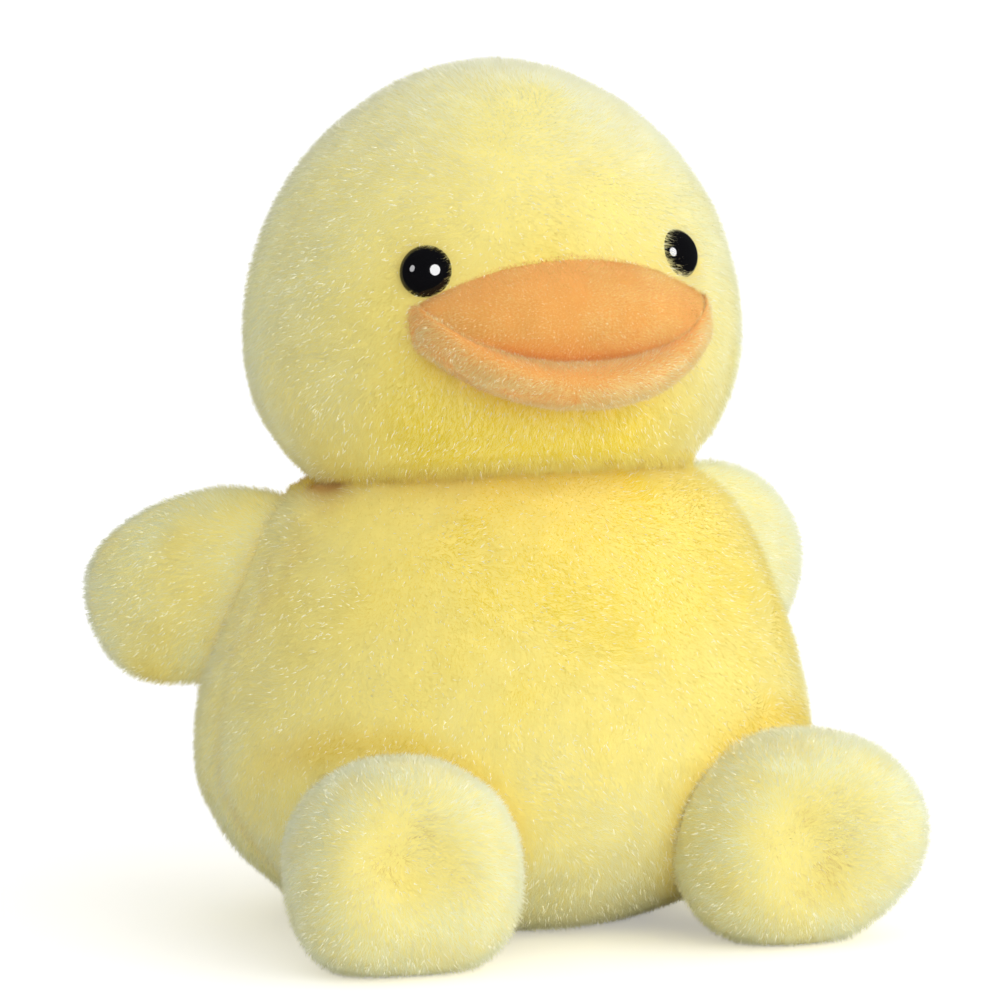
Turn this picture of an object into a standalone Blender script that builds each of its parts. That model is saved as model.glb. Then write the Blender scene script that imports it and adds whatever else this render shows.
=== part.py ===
"""A sitting plush duck, palm size, as the separate pieces that it is sewn and stuffed from.

Metres, +Z up. The duck faces -Y and its left side is +X. The origin is on the floor, in the
middle of the seat. Every stuffed form grows from a coarse cage of rings that a subdivision
surface rounds off. A skin is that form with a hollow cut out of it, and its filling is the same
form, a skin's wall and a clearance smaller.
"""

import math

import bmesh
import bpy
from mathutils import Matrix, Vector
from mathutils.bvhtree import BVHTree

# Shared walls and clearances
CLEARANCE = 0.0003
SKIN_WALL = 0.0026
LIMB_WALL = 0.0022
OVERRUN = 0.010
FLOOR_CUT = 0.0005

# Body: a pear that ends flat on the floor
BODY_WIDTH = 0.0896
BODY_DEPTH = 0.0780
BODY_OVER_NECK = 0.0070

# Neck: the plane of the seam, higher in front than behind
NECK_LEVEL = 0.0645
NECK_BACK = 0.0015
NECK_TILT = math.radians(9.0)

# Head: a ball that is fullest low down, at its cheeks
HEAD_WIDTH = 0.0714
HEAD_DEPTH = 0.0650
HEAD_CROWN = 0.0394
HEAD_JOWL = 0.0290
HEAD_RISE = 0.0195
HEAD_BACK = 0.0030

# Wings: mittens that point out, back and a little down
WING_LENGTH = 0.0370
WING_HEIGHT = 0.0262
WING_THICKNESS = 0.0160
WING_PROUD = 0.0100
WING_TIP_INSET = 0.0147
WING_TIP_DROP = 0.0220
WING_SWEEP = math.radians(32.7)
WING_DROOP = math.radians(20.0)
WING_HINGE_INSET = 0.0178
WING_HINGE_DEPTH = 0.0350
WING_HINGE_RISE = 0.0005

# Legs: stubs that point forwards and swell to round feet
LEG_LENGTH = 0.0400
LEG_WIDTH = 0.0320
LEG_HEIGHT = 0.0300
LEG_OUT = 0.0315
LEG_PROUD = 0.0120
LEG_SPLAY = math.radians(4.0)
LEG_HINGE_INSET = 0.0145

# Tail: a small flat point low on the back
TAIL_LENGTH = 0.0240
TAIL_WIDTH = 0.0240
TAIL_THICKNESS = 0.0110
TAIL_PROUD = 0.0130
TAIL_TIP_LEVEL = 0.0380
TAIL_RISE = math.radians(24.0)
TAIL_HINGE_INSET = 0.0060
TAIL_HINGE_RISE = 0.0020

# Bill: a stuffed dome above, and a flat pad with a full rim below it, both set into the face
BILL_WIDTH = 0.0398
BILL_HEIGHT = 0.0170
BILL_PROUD = 0.0069
BILL_SUNK = 0.0195
BILL_RISE = 0.0057
BILL_CORNER_DROP = 0.0019
LIP_OVERHANG = 0.0030
LIP_THICKNESS = 0.0056
LIP_PROUD = 0.0026
LIP_SUNK = 0.0260
LIP_CORNER_INSET = 0.0175
LIP_DROP = 0.0093
LIP_CORNER_RISE = 0.0070

# Eyes: domed buttons, each on a shank that a washer holds
EYE_RADIUS = 0.0037
EYE_BULGE = 0.0027
EYE_RIM = 0.0006
EYE_SUNK = 0.0010
EYE_OUT = 0.0195
EYE_RISE = 0.0126
EYE_LOOK_OUT = math.radians(30.0)
SHANK_RADIUS = 0.0011
SHANK_LENGTH = 0.0075
WASHER_RADIUS = 0.0040
WASHER_THICKNESS = 0.0010

# Pellet bag: the weight in the seat
PELLET_BAG_WIDTH = 0.0560
PELLET_BAG_DEPTH = 0.0480
PELLET_BAG_HEIGHT = 0.0180
PELLET_BAG_RISE = 0.0025
PELLET_WELL_INSET = 0.0120

# Rings of each cage: place along the form, then half widths across it, then its shift sideways
HEAD_RING_SHARES = (
    (0.08, 0.50, 0.52, 0.0),
    (0.26, 0.87, 0.88, 0.0),
    (0.50, 1.00, 1.00, 0.0),
    (0.74, 0.88, 0.88, 0.0),
    (0.92, 0.51, 0.52, 0.0),
)
BODY_RING_SHARES = (
    (0.01, 0.46, 0.46, 0.00),
    (0.11, 0.83, 0.84, 0.00),
    (0.27, 1.00, 1.00, 0.00),
    (0.44, 0.99, 0.98, 0.00),
    (0.62, 0.91, 0.88, 0.02),
    (0.80, 0.80, 0.76, 0.04),
    (0.95, 0.62, 0.56, 0.05),
)
WING_RING_SHARES = (
    (0.07, 0.60, 0.66, 0.0),
    (0.32, 0.92, 0.97, 0.0),
    (0.64, 1.00, 1.00, 0.0),
    (0.90, 0.72, 0.76, 0.0),
)
LEG_RING_SHARES = (
    (0.05, 0.46, 0.46, 0.0),
    (0.28, 0.72, 0.74, 0.0),
    (0.58, 1.00, 1.00, 0.0),
    (0.86, 0.96, 0.96, 0.0),
    (0.99, 0.56, 0.56, 0.0),
)
TAIL_RING_SHARES = (
    (0.08, 0.86, 0.80, 0.0),
    (0.42, 1.00, 1.00, 0.0),
    (0.78, 0.62, 0.70, 0.0),
)
BILL_RING_SHARES = (
    (0.06, 0.42, 0.45, 0.0),
    (0.26, 0.84, 0.86, 0.0),
    (0.50, 1.00, 1.00, 0.0),
    (0.74, 0.84, 0.86, 0.0),
    (0.94, 0.42, 0.45, 0.0),
)
PELLET_RING_SHARES = (
    (0.12, 0.76, 0.76, 0.0),
    (0.52, 1.00, 1.00, 0.0),
    (0.90, 0.70, 0.70, 0.0),
)
# The lower bill: where its rings stand on the way out, and the outline of each, front first
LIP_RING_SHARES = (-0.98, -0.84, -0.48, 0.0, 0.48, 0.84, 0.98)
LIP_SECTION_SHARES = (
    (1.00, 0.00),
    (0.94, 0.92),
    (0.55, 1.00),
    (-0.70, 0.90),
    (-1.00, 0.00),
    (-0.70, -0.90),
    (0.55, -1.00),
    (0.94, -0.92),
)
LIP_END_SHARE = 0.70

# How finely each form is divided: round its cage, and by the surface that rounds it off
FINE_SEGMENTS = 6
PLAIN_SEGMENTS = 8
INNER_SEGMENTS = 6
FINE_ROUNDING_STEPS = 2
PLAIN_ROUNDING_STEPS = 1
TURN_STEPS = 24
DOME_STEPS = 6

YELLOW = (0.93, 0.84, 0.36)
BELLY_YELLOW = (0.94, 0.78, 0.26)
ORANGE = (0.89, 0.48, 0.16)
LIP_ORANGE = (0.90, 0.56, 0.27)
FIBRE_WHITE = (0.90, 0.90, 0.88)
PELLET_CLOTH = (0.78, 0.77, 0.74)
BLACK = (0.01, 0.01, 0.012)
WASHER_WHITE = (0.80, 0.80, 0.78)

UP = Vector((0, 0, 1))
ACROSS = Vector((1, 0, 0))
BACKWARDS = Vector((0, 1, 0))

# Places that the sizes above lead to
NECK = Vector((0, NECK_BACK, NECK_LEVEL))
HEAD_MIDDLE = Vector((0, HEAD_BACK, NECK_LEVEL + HEAD_RISE))
BODY_HEIGHT = NECK_LEVEL + BODY_OVER_NECK
FACE_FRONT = HEAD_BACK - HEAD_DEPTH / 2
BELLY_FRONT = -BODY_DEPTH / 2
BODY_SIDE = BODY_WIDTH / 2
BODY_BACK = BODY_DEPTH / 2
LIP_FRONT = FACE_FRONT - BILL_PROUD - LIP_PROUD
LIP_WIDTH = BILL_WIDTH + 2 * LIP_OVERHANG
LIP_MIDDLE_LEVEL = HEAD_MIDDLE.z + BILL_RISE - LIP_DROP


# Helpers for objects, materials and collections
def clear_scene():
    """Remove every object, and every mesh and material that they leave behind."""
    for obj in list(bpy.data.objects):
        bpy.data.objects.remove(obj, do_unlink=True)
    for block in list(bpy.data.meshes) + list(bpy.data.curves):
        if block.users == 0 and isinstance(block, bpy.types.Mesh):
            bpy.data.meshes.remove(block)


def new_collection(name):
    collection = bpy.data.collections.new(name)
    bpy.context.scene.collection.children.link(collection)
    return collection


def new_material(name, colour, roughness, metallic=0.0):
    material = bpy.data.materials.new(name)
    material.use_nodes = True
    shader = material.node_tree.nodes["Principled BSDF"]
    shader.inputs["Base Color"].default_value = (*colour, 1.0)
    shader.inputs["Roughness"].default_value = roughness
    shader.inputs["Metallic"].default_value = metallic
    return material


def new_object(name, mesh, collection, material=None):
    """A mesh as an object: a piece with its material, or a cutter, which no render shows."""
    obj = bpy.data.objects.new(name, mesh)
    collection.objects.link(obj)
    if material is None:
        obj.hide_render = True
        obj.display_type = "WIRE"
    else:
        mesh.materials.append(material)
    return obj


def evaluated_points(obj):
    """The points of an object after its modifiers, in its own space."""
    graph = bpy.context.evaluated_depsgraph_get()
    graph.update()
    shaped = obj.evaluated_get(graph)
    mesh = shaped.to_mesh()
    points = [vertex.co.copy() for vertex in mesh.vertices]
    shaped.to_mesh_clear()
    return points


def frame_matrix(origin, across, along):
    """A frame at origin: X is across, Z is along, and Y completes it."""
    along = along.normalized()
    side = along.cross(across).normalized()
    across = side.cross(along).normalized()
    matrix = Matrix((across, side, along)).transposed().to_4x4()
    matrix.translation = origin
    return matrix


# Cages, and the forms that grow from them
def ring_cage(ring_shares, low, high, half_a, half_b, segments):
    """Rings round the Z axis between a pole at low and a pole at high, as a mesh."""
    cage = bmesh.new()
    span = high - low
    rows = []
    for place, share_a, share_b, shift in ring_shares:
        row = []
        for step in range(segments):
            turn = math.tau * step / segments
            row.append(
                cage.verts.new(
                    (
                        half_a * share_a * math.cos(turn),
                        half_b * (share_b * math.sin(turn) + shift),
                        low + span * place,
                    )
                )
            )
        rows.append(row)
    first_pole = cage.verts.new((0, half_b * ring_shares[0][3], low))
    last_pole = cage.verts.new((0, half_b * ring_shares[-1][3], high))
    for step in range(segments):
        after = (step + 1) % segments
        cage.faces.new((first_pole, rows[0][after], rows[0][step]))
        for below, above in zip(rows, rows[1:], strict=False):
            cage.faces.new((below[step], below[after], above[after], above[step]))
        cage.faces.new((last_pole, rows[-1][step], rows[-1][after]))
    bmesh.ops.recalc_face_normals(cage, faces=cage.faces)
    mesh = bpy.data.meshes.new("cage")
    cage.to_mesh(mesh)
    cage.free()
    return mesh


def fit_cage(mesh, low, high, collection):
    """Stretch a cage until the surface that grows from it fills the box from low to high."""
    trial = new_object("trial", mesh, collection)
    add_subdivision(trial, FINE_ROUNDING_STEPS)
    points = evaluated_points(trial)
    bpy.data.objects.remove(trial, do_unlink=True)
    for axis in range(3):
        least = min(point[axis] for point in points)
        most = max(point[axis] for point in points)
        factor = (high[axis] - low[axis]) / (most - least)
        for vertex in mesh.vertices:
            vertex.co[axis] = low[axis] + (vertex.co[axis] - least) * factor


def add_subdivision(obj, level):
    rounding = obj.modifiers.new("round_off", "SUBSURF")
    rounding.levels = level
    rounding.render_levels = level


def cut(obj, *cutters):
    for cutter in cutters:
        difference = obj.modifiers.new("cut_" + cutter.name, "BOOLEAN")
        difference.operation = "DIFFERENCE"
        difference.solver = "EXACT"
        difference.object = cutter


class SoftForm:
    """One stuffed form, from which its skin, filling and cutters are all drawn.

    shape(inset, segments) gives the form's cage in world space, fitted to a box that is
    smaller by inset on every side.
    """

    def __init__(self, name, shape, level, place, cutters):
        self.name = name
        self.shape = shape
        self.level = level
        self.place = place
        self.cutters = cutters

    def draw(self, name, mesh, level, collection, material=None):
        mesh.transform(Matrix.Translation(-self.place))
        obj = new_object(name, mesh, collection, material)
        obj.location = self.place
        add_subdivision(obj, level)
        if material is not None:
            mesh.shade_smooth()
        return obj

    def outer(self, name, collection, material=None):
        segments = FINE_SEGMENTS if self.level == FINE_ROUNDING_STEPS else PLAIN_SEGMENTS
        return self.draw(name, self.shape(0, segments), self.level, collection, material)

    def inner(self, name, inset, collection, material=None):
        return self.draw(
            name, self.shape(inset, INNER_SEGMENTS), PLAIN_ROUNDING_STEPS, collection, material
        )

    def grown(self, name, distance):
        """A cutter: the form, moved out by a clearance along its normals."""
        obj = self.outer(name, self.cutters)
        offset = obj.modifiers.new("offset", "DISPLACE")
        offset.mid_level = 0.0
        offset.strength = distance
        return obj

    def skin(self, collection, material, wall):
        """The form, and the hollow that leaves a wall of it."""
        obj = self.outer(self.name + "_skin", collection, material)
        hollow = self.inner(self.name + "_hollow", wall, self.cutters)
        return obj, hollow

    def filling(self, collection, material, wall):
        return self.inner(self.name + "_filling", wall + CLEARANCE, collection, material)


def half_space(name, place, normal, size, collection):
    """A block whose one face lies at place, square to normal, with all its bulk behind it."""
    block = bmesh.new()
    bmesh.ops.create_cube(block, size=size)
    mesh = bpy.data.meshes.new(name)
    block.to_mesh(mesh)
    block.free()
    matrix = frame_matrix(place - normal * (size / 2), ACROSS, normal)
    mesh.transform(matrix)
    return new_object(name, mesh, collection)


def turned(name, outline, collection, material=None):
    """A profile of (radius, height) points, top to bottom, turned round the Z axis."""
    mesh = bpy.data.meshes.new(name)
    points = [(radius, 0, height) for radius, height in outline]
    edges = [(i, i + 1) for i in range(len(points) - 1)]
    mesh.from_pydata(points, edges, [])
    obj = new_object(name, mesh, collection, material)
    screw = obj.modifiers.new("turn", "SCREW")
    screw.steps = TURN_STEPS
    screw.render_steps = TURN_STEPS
    screw.use_merge_vertices = True
    screw.merge_threshold = EYE_RADIUS / 1000
    screw.use_smooth_shade = True
    return obj


def hinge_empty(name, place, collection):
    """An empty on a joint's axis, the parent of all that the joint moves."""
    empty = bpy.data.objects.new(name, None)
    collection.objects.link(empty)
    empty.location = place
    return empty


def hang_on(empty, *pieces):
    for piece in pieces:
        piece.location = piece.location - empty.location
        piece.parent = empty


# The forms, from the largest to the smallest
def round_cage(ring_shares, low, high, segments, cutters):
    """A cage of rings whose rounded surface fills the box from low to high."""
    size = high - low
    mesh = ring_cage(ring_shares, low.z, high.z, size.x / 2, size.y / 2, segments)
    fit_cage(mesh, low, high, cutters)
    return mesh


def head_form(cutters):
    def shape(inset, segments):
        high = Vector((HEAD_WIDTH / 2 - inset, HEAD_DEPTH / 2 - inset, 1))
        mesh = round_cage(HEAD_RING_SHARES, -high, high, segments, cutters)
        for vertex in mesh.vertices:
            vertex.co.z *= (HEAD_CROWN if vertex.co.z > 0 else HEAD_JOWL) - inset
        mesh.transform(Matrix.Translation(HEAD_MIDDLE))
        return mesh

    return SoftForm("head", shape, FINE_ROUNDING_STEPS, NECK, cutters)


def body_form(cutters):
    def shape(inset, segments):
        low = Vector((inset - BODY_WIDTH / 2, inset - BODY_DEPTH / 2, inset - FLOOR_CUT))
        high = Vector((-low.x, -low.y, BODY_HEIGHT - inset))
        return round_cage(BODY_RING_SHARES, low, high, segments, cutters)

    return SoftForm("body", shape, FINE_ROUNDING_STEPS, Vector((0, 0, 0)), cutters)


def limb_shape(ring_shares, length, width, height, matrix, cutters):
    """A limb along its own Z axis, whose tip lies at the matrix's place."""

    def shape(inset, segments):
        low = Vector((inset - width / 2, inset - height / 2, inset - length))
        high = Vector((-low.x, -low.y, -inset))
        mesh = round_cage(ring_shares, low, high, segments, cutters)
        mesh.transform(matrix)
        return mesh

    return shape


def wing_form(name, side, cutters):
    level = math.cos(WING_DROOP)
    along = Vector(
        (
            side * level * math.cos(WING_SWEEP),
            level * math.sin(WING_SWEEP),
            -math.sin(WING_DROOP),
        )
    )
    tip_out = side * (BODY_SIDE + WING_PROUD)
    tip = Vector((tip_out, BODY_BACK - WING_TIP_INSET, NECK_LEVEL - WING_TIP_DROP))
    matrix = frame_matrix(tip, along.cross(UP), along)
    shape = limb_shape(
        WING_RING_SHARES, WING_LENGTH, WING_THICKNESS, WING_HEIGHT, matrix, cutters
    )
    hinge_out = side * (BODY_SIDE - WING_HINGE_INSET)
    hinge = Vector((hinge_out, BODY_BACK - WING_HINGE_DEPTH, NECK_LEVEL + WING_HINGE_RISE))
    return SoftForm(name, shape, PLAIN_ROUNDING_STEPS, hinge, cutters)


def leg_form(name, side, cutters):
    level = LEG_HEIGHT / 2 - FLOOR_CUT
    sole = Vector((side * LEG_OUT, BELLY_FRONT - LEG_PROUD, level))
    along = Vector((side * math.sin(LEG_SPLAY), -math.cos(LEG_SPLAY), 0))
    matrix = frame_matrix(sole, ACROSS, along)
    shape = limb_shape(LEG_RING_SHARES, LEG_LENGTH, LEG_WIDTH, LEG_HEIGHT, matrix, cutters)
    hinge = Vector((side * LEG_OUT, BELLY_FRONT + LEG_HINGE_INSET, LEG_HEIGHT))
    return SoftForm(name, shape, PLAIN_ROUNDING_STEPS, hinge, cutters)


def tail_form(cutters):
    tip = Vector((0, BODY_BACK + TAIL_PROUD, TAIL_TIP_LEVEL))
    along = Vector((0, math.cos(TAIL_RISE), math.sin(TAIL_RISE)))
    matrix = frame_matrix(tip, ACROSS, along)
    shape = limb_shape(
        TAIL_RING_SHARES, TAIL_LENGTH, TAIL_WIDTH, TAIL_THICKNESS, matrix, cutters
    )
    hinge = Vector((0, BODY_BACK - TAIL_HINGE_INSET, TAIL_TIP_LEVEL + TAIL_HINGE_RISE))
    return SoftForm("tail", shape, PLAIN_ROUNDING_STEPS, hinge, cutters)


def bill_form(cutters):
    """The dome of the bill, whose rings run from one corner of the mouth to the other."""
    reach = (BILL_PROUD + BILL_SUNK) / 2
    middle = Vector((0, FACE_FRONT - BILL_PROUD + reach, HEAD_MIDDLE.z + BILL_RISE))
    turn = frame_matrix(middle, -UP, ACROSS)

    def shape(inset, segments):
        high = Vector((BILL_HEIGHT / 2 - inset, reach - inset, BILL_WIDTH / 2 - inset))
        mesh = round_cage(BILL_RING_SHARES, -high, high, segments, cutters)
        mesh.transform(turn)
        for vertex in mesh.vertices:
            vertex.co.z -= BILL_CORNER_DROP * (vertex.co.x / (BILL_WIDTH / 2)) ** 2
        return mesh

    return SoftForm("upper_bill", shape, PLAIN_ROUNDING_STEPS, NECK, cutters)


def pellet_form(cutters):
    base = SKIN_WALL + CLEARANCE - FLOOR_CUT + PELLET_BAG_RISE

    def shape(inset, segments):
        low = Vector((inset - PELLET_BAG_WIDTH / 2, inset - PELLET_BAG_DEPTH / 2, base + inset))
        high = Vector((-low.x, -low.y, base + PELLET_BAG_HEIGHT - inset))
        return round_cage(PELLET_RING_SHARES, low, high, segments, cutters)

    return SoftForm("pellet_bag", shape, PLAIN_ROUNDING_STEPS, Vector((0, 0, 0)), cutters)


def lip_cage():
    """The lower bill's cage: rings from corner to corner of a flat pad with a full rim.

    Each ring reaches forwards by the share that an ellipse leaves at its place.
    """
    cage = bmesh.new()
    rows = []
    root = LIP_FRONT + LIP_SUNK
    corner = LIP_FRONT + LIP_CORNER_INSET
    for out_share in LIP_RING_SHARES:
        reach = math.sqrt(1 - out_share**2)
        front = corner + (LIP_FRONT - corner) * reach
        middle = (front + root) / 2
        half_depth = (root - front) / 2
        half_height = LIP_THICKNESS / 2 * (LIP_END_SHARE + (1 - LIP_END_SHARE) * reach)
        row = []
        for forward_share, up_share in LIP_SECTION_SHARES:
            place = Vector((LIP_WIDTH / 2 * out_share, middle, 0))
            place.y -= half_depth * forward_share
            place.z += half_height * up_share
            row.append(cage.verts.new(place))
        rows.append(row)
    points = len(LIP_SECTION_SHARES)
    for before, beyond in zip(rows, rows[1:], strict=False):
        for step in range(points):
            after = (step + 1) % points
            cage.faces.new((before[step], before[after], beyond[after], beyond[step]))
    cage.faces.new(rows[0])
    cage.faces.new(rows[-1])
    bmesh.ops.recalc_face_normals(cage, faces=cage.faces)
    mesh = bpy.data.meshes.new("lip_cage")
    cage.to_mesh(mesh)
    cage.free()
    return mesh


def lip_form(cutters):
    """The lower bill: its pad, bent up towards both corners by the square of the way out."""

    def shape(inset, segments):
        mesh = lip_cage()
        low = Vector((-LIP_WIDTH / 2, LIP_FRONT, -LIP_THICKNESS / 2))
        high = Vector((LIP_WIDTH / 2, LIP_FRONT + LIP_SUNK, LIP_THICKNESS / 2))
        fit_cage(mesh, low, high, cutters)
        for vertex in mesh.vertices:
            out_share = vertex.co.x / (LIP_WIDTH / 2)
            vertex.co.z += LIP_MIDDLE_LEVEL + LIP_CORNER_RISE * out_share**2
        return mesh

    return SoftForm("lower_bill", shape, PLAIN_ROUNDING_STEPS, NECK, cutters)


# Eyes
def eye_outline():
    """The dome, its rim and the shank behind, from the top of the dome down."""
    outline = []
    for step in range(DOME_STEPS + 1):
        turn = math.pi / 2 * step / DOME_STEPS
        outline.append((EYE_RADIUS * math.sin(turn), EYE_RIM + EYE_BULGE * math.cos(turn)))
    outline.append((EYE_RADIUS, 0))
    outline.append((SHANK_RADIUS, 0))
    outline.append((SHANK_RADIUS, -SHANK_LENGTH + SHANK_RADIUS))
    outline.append((SHANK_RADIUS / 2, -SHANK_LENGTH))
    outline.append((0, -SHANK_LENGTH))
    return outline


def tube_outline(radius, high, low):
    return [(0, high), (radius, high), (radius, low), (0, low)]


def washer_outline():
    """A flat ring, as its cross-section, which closes on itself."""
    bore = SHANK_RADIUS + CLEARANCE
    top = WASHER_THICKNESS / 2
    return [(bore, top), (WASHER_RADIUS, top), (WASHER_RADIUS, -top), (bore, -top), (bore, top)]


def eye_frame(head_surface, side):
    """Where an eye sits on the head, and which way it looks."""
    look = Vector((side * math.sin(EYE_LOOK_OUT), -math.cos(EYE_LOOK_OUT), 0))
    start = Vector((side * EYE_OUT, -HEAD_DEPTH, HEAD_MIDDLE.z + EYE_RISE)) - NECK
    hit, normal, _, _ = head_surface.ray_cast(start, BACKWARDS)
    place = hit + NECK
    along = Vector((look.x, look.y, normal.z)).normalized()
    return frame_matrix(place - along * EYE_SUNK, ACROSS, along)


def eye_pieces(name, frame, pieces, cutters, black, white):
    """An eye with its washer, then the cutters for the skin and the cutters for the filling."""
    washer_depth = -(SKIN_WALL - EYE_SUNK) - CLEARANCE - WASHER_THICKNESS
    washer_top = washer_depth + WASHER_THICKNESS / 2 + CLEARANCE
    washer_bottom = washer_depth - WASHER_THICKNESS / 2 - CLEARANCE
    eye = turned(name, eye_outline(), pieces, black)
    washer = turned(name + "_washer", washer_outline(), pieces, white)
    washer.matrix_world = frame @ Matrix.Translation((0, 0, washer_depth))
    around_eye = EYE_RADIUS + CLEARANCE
    around_shank = SHANK_RADIUS + CLEARANCE
    around_washer = WASHER_RADIUS + CLEARANCE
    seat = turned(name + "_seat", tube_outline(around_eye, OVERRUN, -CLEARANCE), cutters)
    below = -SHANK_LENGTH - CLEARANCE
    shaft = turned(name + "_shaft", tube_outline(around_shank, OVERRUN, below), cutters)
    recess = turned(name + "_recess", tube_outline(around_washer, washer_top, below), cutters)
    pocket = turned(
        name + "_pocket", tube_outline(around_washer, OVERRUN, washer_bottom), cutters
    )
    for piece in (eye, seat, shaft, recess, pocket):
        piece.matrix_world = frame
    return eye, washer, (seat, shaft, recess), (pocket, shaft)


def main():
    clear_scene()
    pieces = new_collection("plush_duck")
    cutters = new_collection("cutters")

    plush = new_material("yellow_plush", YELLOW, 0.9)
    belly_plush = new_material("belly_plush", BELLY_YELLOW, 0.9)
    orange = new_material("orange_velour", ORANGE, 0.9)
    lip_orange = new_material("lip_velour", LIP_ORANGE, 0.9)
    fibre = new_material("filling_fibre", FIBRE_WHITE, 1.0)
    cloth = new_material("pellet_cloth", PELLET_CLOTH, 0.95)
    black = new_material("eye_black", BLACK, 0.06)
    white = new_material("washer_white", WASHER_WHITE, 0.5)

    # Planes that cut the forms: the neck seam from both sides, and the floor
    neck_axis = Vector((0, math.sin(NECK_TILT), math.cos(NECK_TILT)))
    half_gap = neck_axis * (CLEARANCE / 2)
    block = 2 * BODY_WIDTH
    below_neck = half_space("below_neck", NECK + half_gap, neck_axis, block, cutters)
    above_neck = half_space("above_neck", NECK - half_gap, -neck_axis, block, cutters)
    floor = half_space("floor", Vector((0, 0, 0)), UP, block, cutters)

    # Body: skin, filling and the pellet bag that sits in it
    body = body_form(cutters)
    body_skin, body_hollow = body.skin(pieces, belly_plush, SKIN_WALL)
    cut(body_skin, floor, above_neck, body_hollow)
    pellets = pellet_form(cutters)
    pellets.outer("pellet_bag", pieces, cloth)
    pocket = pellets.grown("pellet_pocket", CLEARANCE)
    well_radius = PELLET_BAG_DEPTH / 2 - PELLET_WELL_INSET
    well_outline = tube_outline(well_radius, PELLET_BAG_HEIGHT / 2, -OVERRUN)
    well = turned("pellet_well", well_outline, cutters)
    body_filling = body.filling(pieces, fibre, SKIN_WALL)
    cut(body_filling, above_neck, pocket, well)
    around_body = body.grown("around_body", CLEARANCE)

    # Head: skin, filling, eyes and bill
    head = head_form(cutters)
    head_skin, head_hollow = head.skin(pieces, plush, SKIN_WALL)
    cut(head_skin, below_neck, head_hollow)
    head_filling = head.filling(pieces, fibre, SKIN_WALL)
    cut(head_filling, below_neck)
    around_head = head.grown("around_head", CLEARANCE)
    head_joint = hinge_empty("head_joint", NECK, pieces)
    hang_on(head_joint, head_skin, head_filling)

    head_surface = head.outer("head_surface", cutters)
    bpy.context.view_layer.update()
    surface = BVHTree.FromObject(head_surface, bpy.context.evaluated_depsgraph_get())
    for name, side in (("left_eye", 1), ("right_eye", -1)):
        frame = eye_frame(surface, side)
        eye, washer, skin_cutters, filling_cutters = eye_pieces(
            name, frame, pieces, cutters, black, white
        )
        cut(head_skin, *skin_cutters)
        cut(head_filling, *filling_cutters)
        hang_on(head_joint, eye, washer)

    bill = bill_form(cutters)
    bill_skin, bill_hollow = bill.skin(pieces, orange, LIMB_WALL)
    cut(bill_skin, around_head, bill_hollow)
    bill_filling = bill.filling(pieces, fibre, LIMB_WALL)
    cut(bill_filling, around_head)
    around_bill = bill.grown("around_bill", CLEARANCE)
    lip = lip_form(cutters)
    lower_bill = lip.outer("lower_bill", pieces, lip_orange)
    cut(lower_bill, around_head, around_bill)
    hang_on(head_joint, bill_skin, bill_filling, lower_bill)

    # Wings, legs and tail, each cut by the body where it is sewn on
    for prefix, side in (("left", 1), ("right", -1)):
        wing = wing_form(prefix + "_wing", side, cutters)
        wing_skin, wing_hollow = wing.skin(pieces, plush, LIMB_WALL)
        cut(wing_skin, around_body, wing_hollow)
        wing_filling = wing.filling(pieces, fibre, LIMB_WALL)
        cut(wing_filling, around_body)
        wing_joint = hinge_empty(prefix + "_wing_joint", wing.place, pieces)
        hang_on(wing_joint, wing_skin, wing_filling)

        leg = leg_form(prefix + "_leg", side, cutters)
        leg_skin, leg_hollow = leg.skin(pieces, plush, LIMB_WALL)
        cut(leg_skin, floor, around_body, leg_hollow)
        leg_filling = leg.filling(pieces, fibre, LIMB_WALL)
        cut(leg_filling, around_body)
        leg_joint = hinge_empty(prefix + "_leg_joint", leg.place, pieces)
        hang_on(leg_joint, leg_skin, leg_filling)

    tail = tail_form(cutters)
    tail_skin, tail_hollow = tail.skin(pieces, plush, LIMB_WALL)
    cut(tail_skin, around_body, tail_hollow)
    tail_filling = tail.filling(pieces, fibre, LIMB_WALL)
    cut(tail_filling, around_body)
    tail_joint = hinge_empty("tail_joint", tail.place, pieces)
    hang_on(tail_joint, tail_skin, tail_filling)


main()
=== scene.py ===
# %% [markdown]
# # A plush duck, dressed in pile
#
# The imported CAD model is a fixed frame: it says where each piece of the duck lies and how it
# moves. This file dresses it. Each stuffed form gets a smooth skin worked out with numpy, and
# hundreds of thousands of thin blades stand on those skins as the pile of the fabric.

import math
from functools import partial

import bpy
import numpy as np
from mathutils import Matrix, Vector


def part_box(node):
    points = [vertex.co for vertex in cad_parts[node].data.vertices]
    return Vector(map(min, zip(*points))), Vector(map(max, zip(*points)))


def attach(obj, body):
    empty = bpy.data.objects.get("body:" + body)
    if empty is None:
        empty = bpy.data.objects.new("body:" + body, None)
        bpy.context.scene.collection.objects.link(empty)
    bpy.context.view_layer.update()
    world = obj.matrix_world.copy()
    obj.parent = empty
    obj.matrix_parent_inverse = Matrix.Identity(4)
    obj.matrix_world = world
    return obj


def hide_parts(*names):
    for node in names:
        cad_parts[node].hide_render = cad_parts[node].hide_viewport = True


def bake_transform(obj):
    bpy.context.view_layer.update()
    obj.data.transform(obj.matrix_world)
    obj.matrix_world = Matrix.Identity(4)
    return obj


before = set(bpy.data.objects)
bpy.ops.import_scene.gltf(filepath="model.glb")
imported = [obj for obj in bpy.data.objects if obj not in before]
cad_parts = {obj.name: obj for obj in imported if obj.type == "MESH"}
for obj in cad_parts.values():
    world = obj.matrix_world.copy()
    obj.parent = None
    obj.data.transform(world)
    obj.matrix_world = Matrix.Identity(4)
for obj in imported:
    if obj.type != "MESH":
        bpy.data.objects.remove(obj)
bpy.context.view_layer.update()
MM = 0.001
rng = np.random.default_rng(7)

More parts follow.
